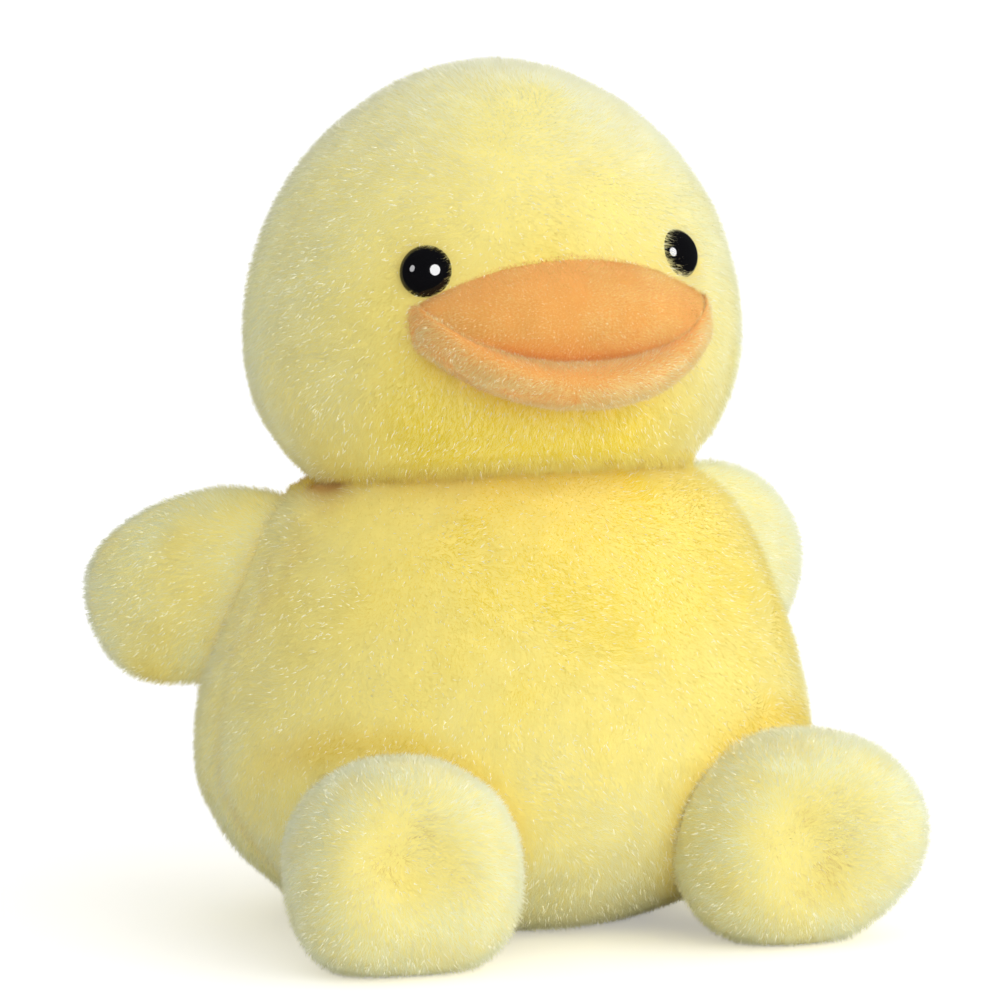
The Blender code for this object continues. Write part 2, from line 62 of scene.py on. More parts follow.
# %% [markdown]
# ## Camera
#
# The duck is photographed from its right front and from a little above, with a long lens. The
# camera stands that far away, and its focal length follows from how many millimetres one
# picture element covers at the duck. The picture is taken to be 1000 by 1000.


# %% Place the camera
AZIMUTH = math.radians(-21.25)
ELEVATION = math.radians(6.75)
ROLL = math.radians(-0.5)
DISTANCE = 981.0 * MM
PICTURE = 1000
MM_PER_PIXEL = 0.146
TARGET = np.array([0.0, 0.0, 60.0]) * MM
TARGET_PIXEL = (501.5, 504.5)
SENSOR = 36.0


def add_object(name, data):
    """A new object of the scene that holds some data, such as a mesh or a lamp."""
    added = bpy.data.objects.new(name, data)
    bpy.context.scene.collection.objects.link(added)
    return added
def camera_axes(azimuth, elevation, roll):
    """Right, up and backward unit vectors of a camera that looks at the duck."""
    back = np.array(
        [
            math.sin(azimuth) * math.cos(elevation),
            -math.cos(azimuth) * math.cos(elevation),
            math.sin(elevation),
        ]
    )
    right = np.array([math.cos(azimuth), math.sin(azimuth), 0.0])
    up = np.cross(back, right)
    turned_right = right * math.cos(roll) + up * math.sin(roll)
    turned_up = up * math.cos(roll) - right * math.sin(roll)
    return turned_right, turned_up, back


right, up, back = camera_axes(AZIMUTH, ELEVATION, ROLL)
off_right = (PICTURE / 2 - TARGET_PIXEL[0]) * MM_PER_PIXEL * MM
off_up = (TARGET_PIXEL[1] - PICTURE / 2) * MM_PER_PIXEL * MM
place = TARGET + back * DISTANCE + right * off_right + up * off_up
camera_data = bpy.data.cameras.new("photo_camera")
camera_data.sensor_width = SENSOR
camera_data.lens = SENSOR * DISTANCE / (PICTURE * MM_PER_PIXEL * MM)
camera_data.clip_start = 0.05
camera_data.clip_end = 50.0
camera = add_object("photo_camera", camera_data)
rows = np.eye(4)
rows[:3] = np.stack([right, up, back, place], axis=1)
camera.matrix_world = Matrix(rows)
bpy.context.scene.camera = camera
print(f"lens {camera_data.lens:.0f} mm at {DISTANCE:.2f} m")

# %% [markdown]
# ## Light and floor
#
# The studio light is soft and comes from both sides. Suns with a wide angle light the floor as
# evenly near the duck as far behind it, and they leave round highlights in the eyes. The floor
# is white: seen by the camera it also glows a little, so that it reaches white where it is lit
# and still keeps the duck's shadow.


# %% Add the suns
def sun(name, azimuth, elevation, strength, angle):
    """A wide sun: azimuth 0 is in front of the duck, and positive is to its left."""
    lamp = bpy.data.lights.new(name, "SUN")
    lamp.energy = strength
    lamp.angle = math.radians(angle)
    lamp_object = add_object(name, lamp)
    lamp_object.rotation_euler = (math.radians(90 - elevation), 0, math.radians(azimuth))
    return lamp_object


for light in (
    ("front_light", 18, 22, 1.03, 46),
    ("side_light", 62, 35, 0.68, 60),
    ("top_light", -10, 82, 0.4, 90),
    ("back_left_light", 130, 32, 0.7, 100),
    ("back_right_light", -128, 28, 0.32, 100),
):
    sun(*light).visible_glossy = False
for light in (("eye_light", -2, 24, 10.0, 34), ("small_eye_light", -82, 24, 1.3, 18)):
    sun(*light).visible_diffuse = False


# %% Light the world
FILL_LIGHT = 0.43
LESS_IN_GLOSS = 0.38


def set_inputs(tree, node, inputs):
    """Set a node's inputs by name: a link where an output is given, and else a plain value."""
    for name, value in inputs.items():
        if isinstance(value, bpy.types.NodeSocket):
            tree.links.new(value, node.inputs[name])
        else:
            node.inputs[name].default_value = value


def add_node(tree, kind, inputs, **settings):
    """A node of a kind. Its settings are made first, because they decide which inputs it has."""
    node = tree.nodes.new("ShaderNode" + kind)
    for name, value in settings.items():
        setattr(node, name, value)
    set_inputs(tree, node, inputs)
    return node


world = bpy.data.worlds.new("studio")
bpy.context.scene.world = world
world.use_nodes = True
tree = world.node_tree
ray = add_node(tree, "LightPath", {}).outputs
either = {0: ray["Is Camera Ray"], 1: ray["Is Transmission Ray"]}
seen = add_node(tree, "Math", either, operation="MAXIMUM").outputs[0]
levels = {"Value": seen, "To Min": FILL_LIGHT, "To Max": 1.0}
strength = add_node(tree, "MapRange", levels).outputs["Result"]
dimming = {0: ray["Is Glossy Ray"], 1: -LESS_IN_GLOSS, 2: strength}
dimmed = add_node(tree, "Math", dimming, operation="MULTIPLY_ADD").outputs[0]
white = {"Strength": dimmed, "Color": (1.0, 1.0, 1.0, 1.0)}
set_inputs(tree, tree.nodes["Background"], white)
bpy.context.scene.view_settings.view_transform = "Standard"
print(f"world at {FILL_LIGHT} on the duck, white behind it")


# %% Lay the floor
FLOOR_HALF_SIDE = 20.0
FLOOR_LEVEL = -0.05 * MM
FLOOR_GLOW = 0.34


def flat_sheet(name, half_side, level):
    """A square of one face at a level."""
    corners = ((-1, -1), (1, -1), (1, 1), (-1, 1))
    mesh = bpy.data.meshes.new(name)
    mesh.from_pydata([(x * half_side, y * half_side, level) for x, y in corners], [], [range(4)])
    return add_object(name, mesh)


def new_material(name):
    """A material, its node tree and its shader."""
    material = bpy.data.materials.new(name)
    material.use_nodes = True
    return material, material.node_tree, material.node_tree.nodes["Principled BSDF"]


floor = flat_sheet("floor", FLOOR_HALF_SIDE, FLOOR_LEVEL)
floor_paint, tree, shader = new_material("floor_paint")
ray = add_node(tree, "LightPath", {}).outputs
glow = add_node(tree, "Math", {0: ray["Is Camera Ray"], 1: FLOOR_GLOW}, operation="MULTIPLY")
finish = {
    "Base Color": (0.88, 0.88, 0.875, 1.0),
    "Roughness": 0.9,
    "Specular IOR Level": 0.1,
    "Emission Color": (1.0, 1.0, 1.0, 1.0),
    "Emission Strength": glow.outputs[0],
}
set_inputs(tree, shader, finish)
floor.data.materials.append(floor_paint)
floor.visible_glossy = False

# %% [markdown]
# ## Shapes from rings
#
# A stuffed form swells and tapers along an axis. It could be sculpted, but a table of rings is
# easier to read and to change: each row gives a place along the form, its half widths both ways
# and a shift. A cubic spline runs from pole to pole over the mirrored table, so that both ends
# close round, and an ellipse is carried along it.


# %% Round a table of rings into a surface
def spline(values, steps):
    """Closed uniform cubic spline of control values (n, k), at the given steps."""
    count = len(values)
    low = np.floor(steps).astype(int)
    t = (steps - low)[:, None]
    before, here, after, beyond = (values[(low + shift) % count] for shift in (-1, 0, 1, 2))
    return (
        (1 - t) ** 3 * before
        + (3 * t**3 - 6 * t**2 + 4) * here
        + (-3 * t**3 + 3 * t**2 + 3 * t + 1) * after
        + t**3 * beyond
    ) / 6


def ring_profile(ring_shares, count):
    """Half widths a and b, shift and place of a form at count steps from pole to pole."""
    rings = np.array(ring_shares)
    low_pole = [[0.0, 0.0, 0.0, rings[0, 3]]]
    high_pole = [[1.0, 0.0, 0.0, rings[-1, 3]]]
    mirrored = rings[::-1] * [1, -1, -1, 1]
    control = np.concatenate([low_pole, rings, high_pole, mirrored])
    steps = np.linspace(0, len(rings) + 1, count)
    place, a, b, shift = spline(control, steps).T
    return place, a, b, shift


def stuffed_surface(ring_shares, low, high, along=72, around=96):
    """Points (along, around, 3): an ellipse carried from pole to pole, fitted to a box.

    x = a(s) cos t, y = b(s) sin t + shift(s), z = place(s), each stretched to the box.
    """
    place, a, b, shift = ring_profile(ring_shares, along)
    turn = np.linspace(0, 2 * np.pi, around, endpoint=False)
    x = a[:, None] * np.cos(turn)
    y = b[:, None] * np.sin(turn) + shift[:, None]
    z = np.repeat(place[:, None], around, axis=1)
    points = np.stack([x, y, z], axis=-1)
    least, most = points.min((0, 1)), points.max((0, 1))
    return np.asarray(low) + (points - least) * (np.asarray(high) - low) / (most - least)


# %% Put a grid of points into a mesh
def grid_faces(rows, columns):
    """Quads between the inner rows, and a fan of triangles at each pole."""
    row = np.arange(rows - 1)[:, None] * columns
    column = np.arange(columns)[None, :]
    after = (column + 1) % columns
    quads = np.stack(
        [row + column, row + after, row + columns + after, row + columns + column], axis=-1
    ).reshape(-1, 4)
    first, last = rows * columns, rows * columns + 1
    around = np.arange(columns)
    beyond = (around + 1) % columns
    fan_low = np.stack([np.full(columns, first), beyond, around], axis=-1)
    top = (rows - 1) * columns
    fan_high = np.stack([np.full(columns, last), top + around, top + beyond], axis=-1)
    return quads, np.concatenate([fan_low, fan_high])


def mesh_from(name, vertices, quads, triangles=None):
    """A mesh of quads and triangles, written as whole arrays."""
    triangles = np.zeros((0, 3), int) if triangles is None else triangles
    loops = np.concatenate([quads.ravel(), triangles.ravel()]).astype(np.int32)
    sizes = np.concatenate([np.full(len(quads), 4), np.full(len(triangles), 3)])
    starts = np.concatenate([[0], np.cumsum(sizes)[:-1]]).astype(np.int32)
    mesh = bpy.data.meshes.new(name)
    mesh.vertices.add(len(vertices))
    mesh.vertices.foreach_set("co", np.asarray(vertices, np.float32).ravel())
    mesh.loops.add(len(loops))
    mesh.loops.foreach_set("vertex_index", loops)
    mesh.polygons.add(len(starts))
    mesh.polygons.foreach_set("loop_start", starts)
    mesh.update()
    mesh.validate()
    return mesh


def surface_piece(name, points):
    """A closed piece from a grid whose first and last rows have shrunk to its poles."""
    rows, columns = points.shape[0] - 2, points.shape[1]
    poles = np.stack([points[0].mean(0), points[-1].mean(0)])
    vertices = np.concatenate([points[1:-1].reshape(-1, 3), poles])
    quads, fans = grid_faces(rows, columns)
    a, b, c, d = (vertices[quads[:, corner]] for corner in range(4))
    if (np.cross(c - a, d - b) * (a + b + c + d)).sum() < 0:
        quads, fans = quads[:, ::-1], fans[:, ::-1]
    mesh = mesh_from(name, vertices, quads, fans)
    mesh.shade_smooth()
    return add_object(name, mesh)


# %% Read and write values on a mesh
def read_rows(items, attribute, kind=np.float32):
    """One attribute of all items of a mesh, three values to a row."""
    values = np.empty(len(items) * 3, kind)
    items.foreach_get(attribute, values)
    return values.reshape(-1, 3)


def vertex_points(mesh):
    """Coordinates of a mesh's vertices, (n, 3)."""
    return read_rows(mesh.vertices, "co").astype(float)


def move_vertices(mesh, points):
    """Put a mesh's vertices at new points."""
    mesh.vertices.foreach_set("co", points.astype(np.float32).ravel())
    mesh.update()


def write_shares(mesh, name, shares):
    """Write a share from 0 to 1 on each vertex, such as how deep in a seam it lies."""
    attribute = mesh.attributes.new(name, "FLOAT", "POINT")
    attribute.data.foreach_set("value", shares.astype(np.float32))


def mark(piece, name, share_of):
    """Work out a share at each vertex of a piece, and write it there."""
    write_shares(piece.data, name, share_of(vertex_points(piece.data)))


# %% Measure gaps and make noise
def gap_to(points, place):
    """Distance of each point from a place."""
    return np.linalg.norm(points - place, axis=-1)


def bell(gap, reach):
    """1 where the gap is 0, falling off to both sides as exp(-(gap / reach)^2)."""
    return np.exp(-((gap / reach) ** 2))


def fade(height, reach):
    """1 up to height 0, falling off above it as exp(-height / reach)."""
    return np.exp(-np.maximum(height, 0) / reach)


def unit(vectors):
    """Vectors of the same directions, one long."""
    return vectors / np.maximum(np.linalg.norm(vectors, axis=-1, keepdims=True), 1e-12)


def frame_of(along, across):
    """Rotation whose columns are across, side and along."""
    along = unit(np.asarray(along, float))
    side = unit(np.cross(along, across))
    return np.stack([np.cross(side, along), side, along], axis=-1)


def waves(points, wavelength, seed):
    """Smooth noise from -1 to 1: seven sine waves in random directions, added up."""
    generator = np.random.default_rng(seed)
    directions = unit(generator.normal(size=(7, 3))) * generator.uniform(0.7, 1.4, (7, 1))
    phases = generator.uniform(0, 2 * np.pi, 7)
    total = np.sin(points @ directions.T * (2 * np.pi / wavelength) + phases).sum(-1)
    return total / 3.5


def sway(points, sizes, seeds):
    """A slow random vector at each point: noise of its own size, in mm, and seed on each axis."""
    noise = [waves(points, size * MM, seed) for size, seed in zip(sizes, seeds, strict=True)]
    return np.stack(noise, axis=-1)

# %% [markdown]
# ## Stuffing
#
# The filling presses on the sewn skin from inside: it swells between its seams, and its seams
# stay drawn in. Scaling a form up would swell it evenly, but a cloth simulation finds where the
# fabric gives. It runs on a coarse copy of the skin with even faces, cut a little too large and
# pinned along the seams. How far each point of the copy moves is carried over to the fine skin.

# %% Swell a skin with a cloth simulation
CLOTH_VOXEL = 4.5 * MM
CLOTH_FRAMES = 20
CLOTH_EXCESS = 0.035
CLOTH_PRESSURE = 4.0


def cloth_moves(mesh, held):
    """Points of an evenly remeshed copy of a mesh, and how far its filling moves each.

    The points where held is true are pinned.
    """
    copy = add_object("coarse_skin", mesh.copy())
    remesh = copy.modifiers.new("even_faces", "REMESH")
    remesh.mode = "VOXEL"
    remesh.voxel_size = CLOTH_VOXEL
    graph = bpy.context.evaluated_depsgraph_get()
    even = bpy.data.meshes.new_from_object(copy.evaluated_get(graph))
    copy.modifiers.clear()
    copy.data = even
    before = vertex_points(even)
    pins = copy.vertex_groups.new(name="held")
    pins.add(np.flatnonzero(held(before)).tolist(), 1.0, "REPLACE")
    cloth = copy.modifiers.new("filling", "CLOTH")
    cloth.settings.use_pressure = True
    cloth.settings.uniform_pressure_force = CLOTH_PRESSURE
    cloth.settings.effector_weights.gravity = 0.0
    cloth.settings.shrink_min = -CLOTH_EXCESS
    cloth.settings.vertex_group_mass = "held"
    for moment in range(1, CLOTH_FRAMES + 1):
        bpy.context.scene.frame_set(moment)
    graph = bpy.context.evaluated_depsgraph_get()
    moves = vertex_points(copy.evaluated_get(graph).to_mesh()) - before
    bpy.context.scene.frame_set(1)
    bpy.data.objects.remove(copy)
    return before, moves


def carry_over(places, values, points, reach):
    """Mean of the values at places round each point, weighted by exp(-distance^2 / 2 reach^2)."""
    carried = []
    for some in np.array_split(points, 40):
        gap = (some**2).sum(1)[:, None] + (places**2).sum(1) - 2 * some @ places.T
        weight = np.exp(-gap / (2 * reach**2)) + 1e-12
        carried.append(weight @ values / weight.sum(1, keepdims=True))
    return np.concatenate(carried)


def stuff(piece, held, free, depth):
    """Draw a skin in by depth, then swell it with the cloth: seams stay in and panels fill out.

    end = point + free * normal * (swell - depth), where swell is the cloth's move along the
    normal, between 0 and depth. free(points) is 0 where the skin rests on another.
    """
    mesh = piece.data
    points = vertex_points(mesh)
    normals = read_rows(mesh.vertex_normals, "vector").astype(float)
    share = free(points)[:, None]
    start = points - depth * share * normals
    move_vertices(mesh, start)
    places, moves = cloth_moves(mesh, held)
    carried = carry_over(places, moves, start, 0.8 * CLOTH_VOXEL)
    swell = np.clip((carried * normals).sum(1, keepdims=True), 0, depth)
    move_vertices(mesh, start + share * swell * normals)
    print(f"{piece.name}: {len(places)} cloth points, mean swell {swell.mean() / MM:.2f} mm")


# %% [markdown]
# ## Pile
#
# Plush is a knitted ground with fine fibres standing on it. Hair particles would be lost in an
# export, so each fibre here is one thin triangle: two corners at the root and one at the tip.
# Fibres lean the way the fabric was brushed, gather into small tufts, and take the shading of
# the skin below, which is what makes a cloud of blades look soft.


# %% Read a skin as arrays
def skin_arrays(piece):
    """Corner indices, points and normals of a piece's triangles, as its modifiers leave it."""
    graph = bpy.context.evaluated_depsgraph_get()
    shaped = piece.evaluated_get(graph)
    mesh = shaped.to_mesh()
    mesh.calc_loop_triangles()
    points = read_rows(mesh.vertices, "co")
    normals = read_rows(mesh.vertex_normals, "vector")
    corners = read_rows(mesh.loop_triangles, "vertices", np.int32)
    shaped.to_mesh_clear()
    return corners, points, normals


def scatter(piece, density, bare, generator):
    """Roots and normals spread evenly over a skin, at density for each square millimetre.

    bare(points) is true where the skin carries no pile, such as inside a seam.
    """
    corners, points, normals = skin_arrays(piece)
    a, b, c = points[corners[:, 0]], points[corners[:, 1]], points[corners[:, 2]]
    area = np.linalg.norm(np.cross(b - a, c - a), axis=1) / 2
    area[bare((a + b + c) / 3)] = 0
    reach = np.cumsum(area)
    count = int(density * reach[-1] / MM**2)
    steps = (np.arange(count) + generator.random(count)) / count * reach[-1]
    picked = np.minimum(np.searchsorted(reach, steps), len(area) - 1)
    first, second = generator.random((2, count, 1))
    fold = first + second > 1
    first, second = np.where(fold, 1 - first, first), np.where(fold, 1 - second, second)
    chosen = corners[picked]
    weights = np.concatenate([1 - first - second, first, second], axis=1)[..., None]
    roots = (points[chosen] * weights).sum(1)
    return roots.astype(float), unit((normals[chosen] * weights).sum(1)).astype(float)


# %% Grow blades on the roots
QUICK_SHARE = 1.0
GLINTS = 0.05
FLOW_SPREAD = 0.45
GLINT_FOOT = 0.45
ROOT_DEPTH = 0.15 * MM
LAMP_SIDES = np.array(
    [[0.10, -0.92, 0.37], [0.71, -0.41, 0.57], [0.65, 0.54, 0.53], [-0.69, 0.54, 0.47]]
)
LAMP_SHARES = np.array([0.92, 1.0, 0.85, 0.4])
TUFT_MIX = np.array([[12.99, 78.23, 37.72], [39.35, 11.14, 83.16], [73.16, 52.24, 9.15]])


def tuft_pull(roots, size, seed):
    """Way from each root to the middle of its own tuft, whose cell is size wide.

    The middle is off the cell's own by 0.4 sin of the cell's numbers times a table of big ones.
    """
    cell = np.floor(roots / size + waves(roots, size * 3.1, seed)[:, None] * 0.35)
    middle = (cell + 0.5 + 0.4 * np.sin(cell @ TUFT_MIX)) * size
    return middle - roots


def along_skin(vectors, normals):
    """What is left of vectors when their part along the skin's normals is taken off."""
    return vectors - (vectors * normals).sum(1, keepdims=True) * normals


def blades(
    roots, normals, comb, length, width, lean, generator, tuft=0.9 * MM, pull=0.45, glints=GLINTS
):
    """Corners (n, 3, 3) and shading normal of each root's blade, and which blades glint.

    A blade leans from its normal by an angle towards the comb's flow, and its tip is pulled to
    the middle of its tuft. Most shading normals follow the skin. A few blades glint: they are
    the upper half of a fibre that lies on top, pale, broad and turned to a lamp. No blade goes
    below the floor.
    """
    count = len(roots)
    flow = unit(along_skin(comb(roots), normals))
    flow = flow + FLOW_SPREAD * generator.normal(size=(count, 3))
    flow = unit(along_skin(flow, normals))
    angle = lean * (1 + 0.2 * generator.normal(size=(count, 1)))
    direction = unit(normals * np.cos(angle) + flow * np.sin(angle))
    glint = generator.random(count) < glints
    size = length(roots)[:, None] * generator.uniform(0.62, 1.15, (count, 1))
    drift = along_skin(tuft_pull(roots, tuft, 3), normals)
    tips = roots + direction * size + drift * pull * generator.uniform(0.3, 1.0, (count, 1))
    flat = unit(np.cross(direction, normals))
    twist = np.clip(0.55 * generator.normal(size=(count, 1)), -1.1, 1.1)
    side = flat * np.cos(twist) + np.cross(direction, flat) * np.sin(twist)
    half = side * (width / 2) * (generator.uniform(0.7, 1.3, count) + 0.35 * glint)[:, None]
    upper = roots + (tips - roots) * GLINT_FOOT
    foot = np.where(glint[:, None], upper, roots - normals * ROOT_DEPTH)
    corners = np.stack([foot - half, foot + half, tips], axis=1)
    corners[..., 2] = np.maximum(corners[..., 2], 0.0)
    clump = sway(roots, (4.5, 4.5, 4.5), (5, 6, 8))
    stray = generator.normal(size=(count, 3))
    lamp = LAMP_SIDES[np.argmax((normals @ LAMP_SIDES.T + 0.5) * LAMP_SHARES, axis=1)]
    plain = normals + 0.04 * stray + 0.11 * clump + 0.12 * direction
    shading = unit(np.where(glint[:, None], 0.45 * normals + lamp + 0.3 * stray, plain))
    return corners, shading, glint


# %% Turn blades into pieces
MOST_BLADES = 98000
BLADE_THICKNESS = 0.003 * MM
BAKE_STEP = np.array([[0.0, 0.0], [0.0006, 0.0], [0.0003, 0.0016]])[[0, 1, 2, 1, 0, 2]]


def both_shades(shading, across):
    """Shading normals of a blade's two faces, which face across and -across.

    A face that looks away from the skin's normal is bent towards its own side, by 1.5 times
    what its dot product with the normal is short of 0.3: light shines through a real fibre.
    """
    facing = (across * shading).sum(1, keepdims=True)
    front = unit(shading + 1.5 * np.maximum(0.3 - facing, 0) * across)
    rear = unit(shading - 1.5 * np.maximum(0.3 + facing, 0) * across)
    return front, rear


def pile_pieces(name, grown, tone_and_shade, crease_shade, material, body, centre):
    """Blades as pieces of at most MOST_BLADES each, with attributes and a map for baking.

    A blade has two faces back to back, so that it is lit from either side.
    along runs from 0 at the root to 1 at the tip. The deep-yellow share runs from 0, lemon,
    to 1, deep yellow; it is partly the fabric's tone and partly painted light and shade. The
    seam share is 1 down in a seam, where it paints shade.
    On the map each blade sits at its root's longitude and height.
    """
    corners, shading, glint = grown
    made = []
    parts = max(1, math.ceil(len(corners) / MOST_BLADES))
    for part, chosen in enumerate(np.array_split(np.arange(len(corners)), parts)):
        own_name = name if parts == 1 else f"{name}_{part + 1}"
        front = corners[chosen]
        across = unit(np.cross(front[:, 1] - front[:, 0], front[:, 2] - front[:, 0]))
        rear = (front - across[:, None] * BLADE_THICKNESS)[:, [1, 0, 2]]
        points = np.stack([front, rear], axis=1).reshape(-1, 3)
        indices = np.arange(len(points)).reshape(-1, 3)
        mesh = mesh_from(own_name, points, np.zeros((0, 4), int), indices)
        shades = np.repeat(np.stack(both_shades(shading[chosen], across), axis=1), 3, axis=1)
        normal = mesh.attributes.new("custom_normal", "FLOAT_VECTOR", "POINT")
        normal.data.foreach_set("vector", shades.astype(np.float32).ravel())
        write_shares(mesh, "along", np.tile(np.array([0, 0, 1]), 2 * len(chosen)))
        for label, values in (("tone_and_shade", tone_and_shade), ("glint", glint), ("crease_shade", crease_shade)):
            write_shares(mesh, label, np.repeat(values[chosen], 6))
        root = corners[chosen, 0] - centre
        longitudes = np.arctan2(root[:, 1], root[:, 0]) / (2 * np.pi) + 0.5
        heights = (root[:, 2] - root[:, 2].min()) / np.ptp(root[:, 2])
        spots = (np.stack([longitudes, heights], -1) * 0.99)[:, None, :] + BAKE_STEP
        uv = mesh.uv_layers.new(name="OFBake")
        uv.data.foreach_set("uv", spots.astype(np.float32).ravel())
        mesh.materials.append(material)
        piece = add_object(own_name, mesh)
        piece.visible_shadow = False
        piece.visible_diffuse = False
        if body:
            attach(piece, body)
        made.append(piece)
    print(f"{name}: {len(corners)} blades in {parts} piece(s)")
    return made


# %% [markdown]
# ## Fabrics
#
# The pile is a deeper yellow down at the root than at its shiny tip. Looking straight at the
# fabric one sees between the fibres, so it looks warm there, and at the edges only the pale
# tips show. A ramp along each fibre gives just that, whatever the view. A deep dye is mixed in
# on top, partly the fabric's own tone and partly painted light: deep where the duck faces the
# front and in the shade under the chin, pale on its sides. Glints are painted highlights, and
# seams and creases get painted shade. Slow noise varies the dye a little, and sheen adds the
# glint of a synthetic fibre.


# %% Add nodes for dyes
def linear(red, green, blue):
    """An opaque colour written as 0 to 255 on a screen, as the light that it stands for."""
    value = np.array([red, green, blue]) / 255
    return (*np.where(value <= 0.04045, value / 12.92, ((value + 0.055) / 1.055) ** 2.4), 1.0)


def ramp(tree, share, places, colours):
    """A colour for each share from 0 to 1, by way of the colours (0 to 255) at the places."""
    node = add_node(tree, "ValToRGB", {"Fac": share})
    elements = node.color_ramp.elements
    while len(elements) < len(places):
        elements.new(0.5)
    for element, place, colour in zip(elements, places, colours, strict=True):
        element.position = place
        element.color = linear(*colour)
    return node.outputs["Color"]


def share_on(tree, name):
    """The share that a piece carries on its vertices under a name."""
    return add_node(tree, "Attribute", {}, attribute_name=name).outputs["Fac"]


def mix(tree, name, colour, other):
    """One colour where the share of this name is 0, and the other where it is 1."""
    inputs = {"Factor": share_on(tree, name), "A": colour, "B": other}
    return add_node(tree, "Mix", inputs, data_type="RGBA").outputs["Result"]


def object_noise(tree, scale, detail=2.0):
    """Noise from 0 to 1 that stays on the object."""
    place = add_node(tree, "TexCoord", {}).outputs["Object"]
    inputs = {"Vector": place, "Scale": scale, "Detail": detail}
    return add_node(tree, "TexNoise", inputs).outputs["Fac"]


def uneven(tree, colour, noise):
    """A colour as the dye takes it: times 0.90 to 1.08, by noise."""
    dye = add_node(tree, "MapRange", {"Value": noise, "To Min": 0.90, "To Max": 1.08})
    inputs = {0: colour, "Scale": dye.outputs["Result"]}
    return add_node(tree, "VectorMath", inputs, operation="SCALE").outputs["Vector"]


# %% Mix the fabrics
def pile_material(name, middle, cool, warm, glint, crease_shade):
    """Pile: colours at the root, the middle and the tip of a fibre, once for the lemon dye and
    once for the deep dye, mixed by a share that is partly tone and partly painted light, then
    paler in a glint, a painted highlight, and darker with painted shade in seams."""
    material, tree, shader = new_material(name)
    along = share_on(tree, "along")
    dyes = [ramp(tree, along, (0.0, middle, 1.0), colours) for colours in (cool, warm)]
    # The deep dye: partly the fabric's tone, partly painted light and shade.
    colour = mix(tree, "tone_and_shade", *dyes)
    colour = mix(tree, "glint", colour, linear(*glint))
    # Painted shade in seams and creases.
    colour = mix(tree, "crease_shade", colour, linear(*crease_shade))
    finish = {
        "Base Color": uneven(tree, colour, object_noise(tree, 220.0, 3.0)),
        "Roughness": 0.5,
        "Specular IOR Level": 0.0,
        "Sheen Weight": 0.2,
        "Sheen Roughness": 0.35,
        "Sheen Tint": linear(*cool[1]),
    }
    set_inputs(tree, shader, finish)
    return material


def ground_material(name, cool, warm, crease_shade):
    """The knitted ground under the pile: both dyes, mixed partly as painted light, darker with
    painted shade in seams, uneven by noise, and the knit's bumps.
    """
    material, tree, shader = new_material(name)
    # Both dyes mixed partly as painted light, then painted shade in seams.
    colour = mix(tree, "tone_and_shade", linear(*cool), linear(*warm))
    colour = mix(tree, "crease_shade", colour, linear(*crease_shade))
    knit = object_noise(tree, 300.0, 5.0)
    bump = add_node(tree, "Bump", {"Strength": 0.5, "Distance": 0.05 * MM, "Height": knit})
    finish = {
        "Base Color": uneven(tree, colour, knit),
        "Normal": bump.outputs["Normal"],
        "Roughness": 0.9,
        "Specular IOR Level": 0.1,
        "Sheen Weight": 0.2,
    }
    set_inputs(tree, shader, finish)
    return material


# Painted shade: the colours that seams, creases and the pit are darkened to, partly the deeper
# colour where the pile parts.
YELLOW_CREASE_SHADE = (202, 150, 46)
ORANGE_CREASE_SHADE = (222, 124, 58)
yellow_pile = pile_material(
    "yellow_pile",
    0.5,
    [(241, 241, 182), (247, 249, 208), (250, 253, 228)],
    [(246, 208, 42), (249, 221, 62), (251, 235, 98)],
    (255, 253, 226),
    YELLOW_CREASE_SHADE,
)
orange_pile = pile_material(
    "orange_pile",
    0.6,
    [(244, 184, 92), (251, 211, 128), (255, 230, 164)],
    [(236, 154, 64), (247, 187, 98), (252, 211, 134)],
    (255, 226, 170),
    ORANGE_CREASE_SHADE,
)
lip_pile = pile_material(
    "lip_pile",
    0.6,
    [(246, 196, 112), (252, 224, 152), (255, 240, 188)],
    [(241, 180, 96), (249, 210, 130), (254, 230, 168)],
    (255, 246, 206),
    ORANGE_CREASE_SHADE,
)
yellow_ground = ground_material("yellow_ground", (241, 231, 146), (250, 229, 120), YELLOW_CREASE_SHADE)
orange_ground = ground_material("orange_ground", (240, 166, 82), (236, 154, 70), ORANGE_CREASE_SHADE)
print("materials so far:", ", ".join(made.name for made in bpy.data.materials))

# %% [markdown]
# ## Body
#
# The body is a pear with a full belly. It is sewn from two sides, and its side seams pull a
# shallow groove from under each wing down to the seat. Its top is pressed flat where the head
# is sewn on, and its seat is flat where it stands.

# %% Shape the body
NECK = np.array([0.0, 1.5, 64.5]) * MM
NECK_TILT = math.radians(9.0)
NECK_AXIS = np.array([0.0, math.sin(NECK_TILT), math.cos(NECK_TILT)])
BODY_MIDDLE = np.array([0, 0, 30 * MM])
SEAM_GAP = 0.04 * MM
PLUMP = 0.4 * MM
BODY_RINGS = (
    (0.01, 0.46, 0.46, 0.00),
    (0.11, 0.86, 0.85, 0.00),
    (0.27, 1.00, 1.00, 0.00),
    (0.44, 0.99, 0.98, 0.00),
    (0.62, 0.91, 0.88, 0.02),
    (0.80, 0.80, 0.76, 0.04),
    (0.95, 0.62, 0.56, 0.05),
)
BODY_LOW = np.array([-44.8, -39.0, -0.5]) * MM
BODY_HIGH = np.array([44.8, 39.0, 71.5]) * MM


def press_to_plane(points, place, axis, gap):
    """Move what lies behind a plane onto it, along its axis."""
    depth = (points - place) @ axis - gap
    return points - np.minimum(depth, 0)[..., None] * axis


def over_neck(points):
    """Height of points above the plane of the neck seam, along its axis."""
    return (points - NECK) @ NECK_AXIS


def longitude(points):
    """Angle round the body in degrees: 0 in front, positive on the duck's left."""
    return np.degrees(np.arctan2(points[..., 0], -points[..., 1]))


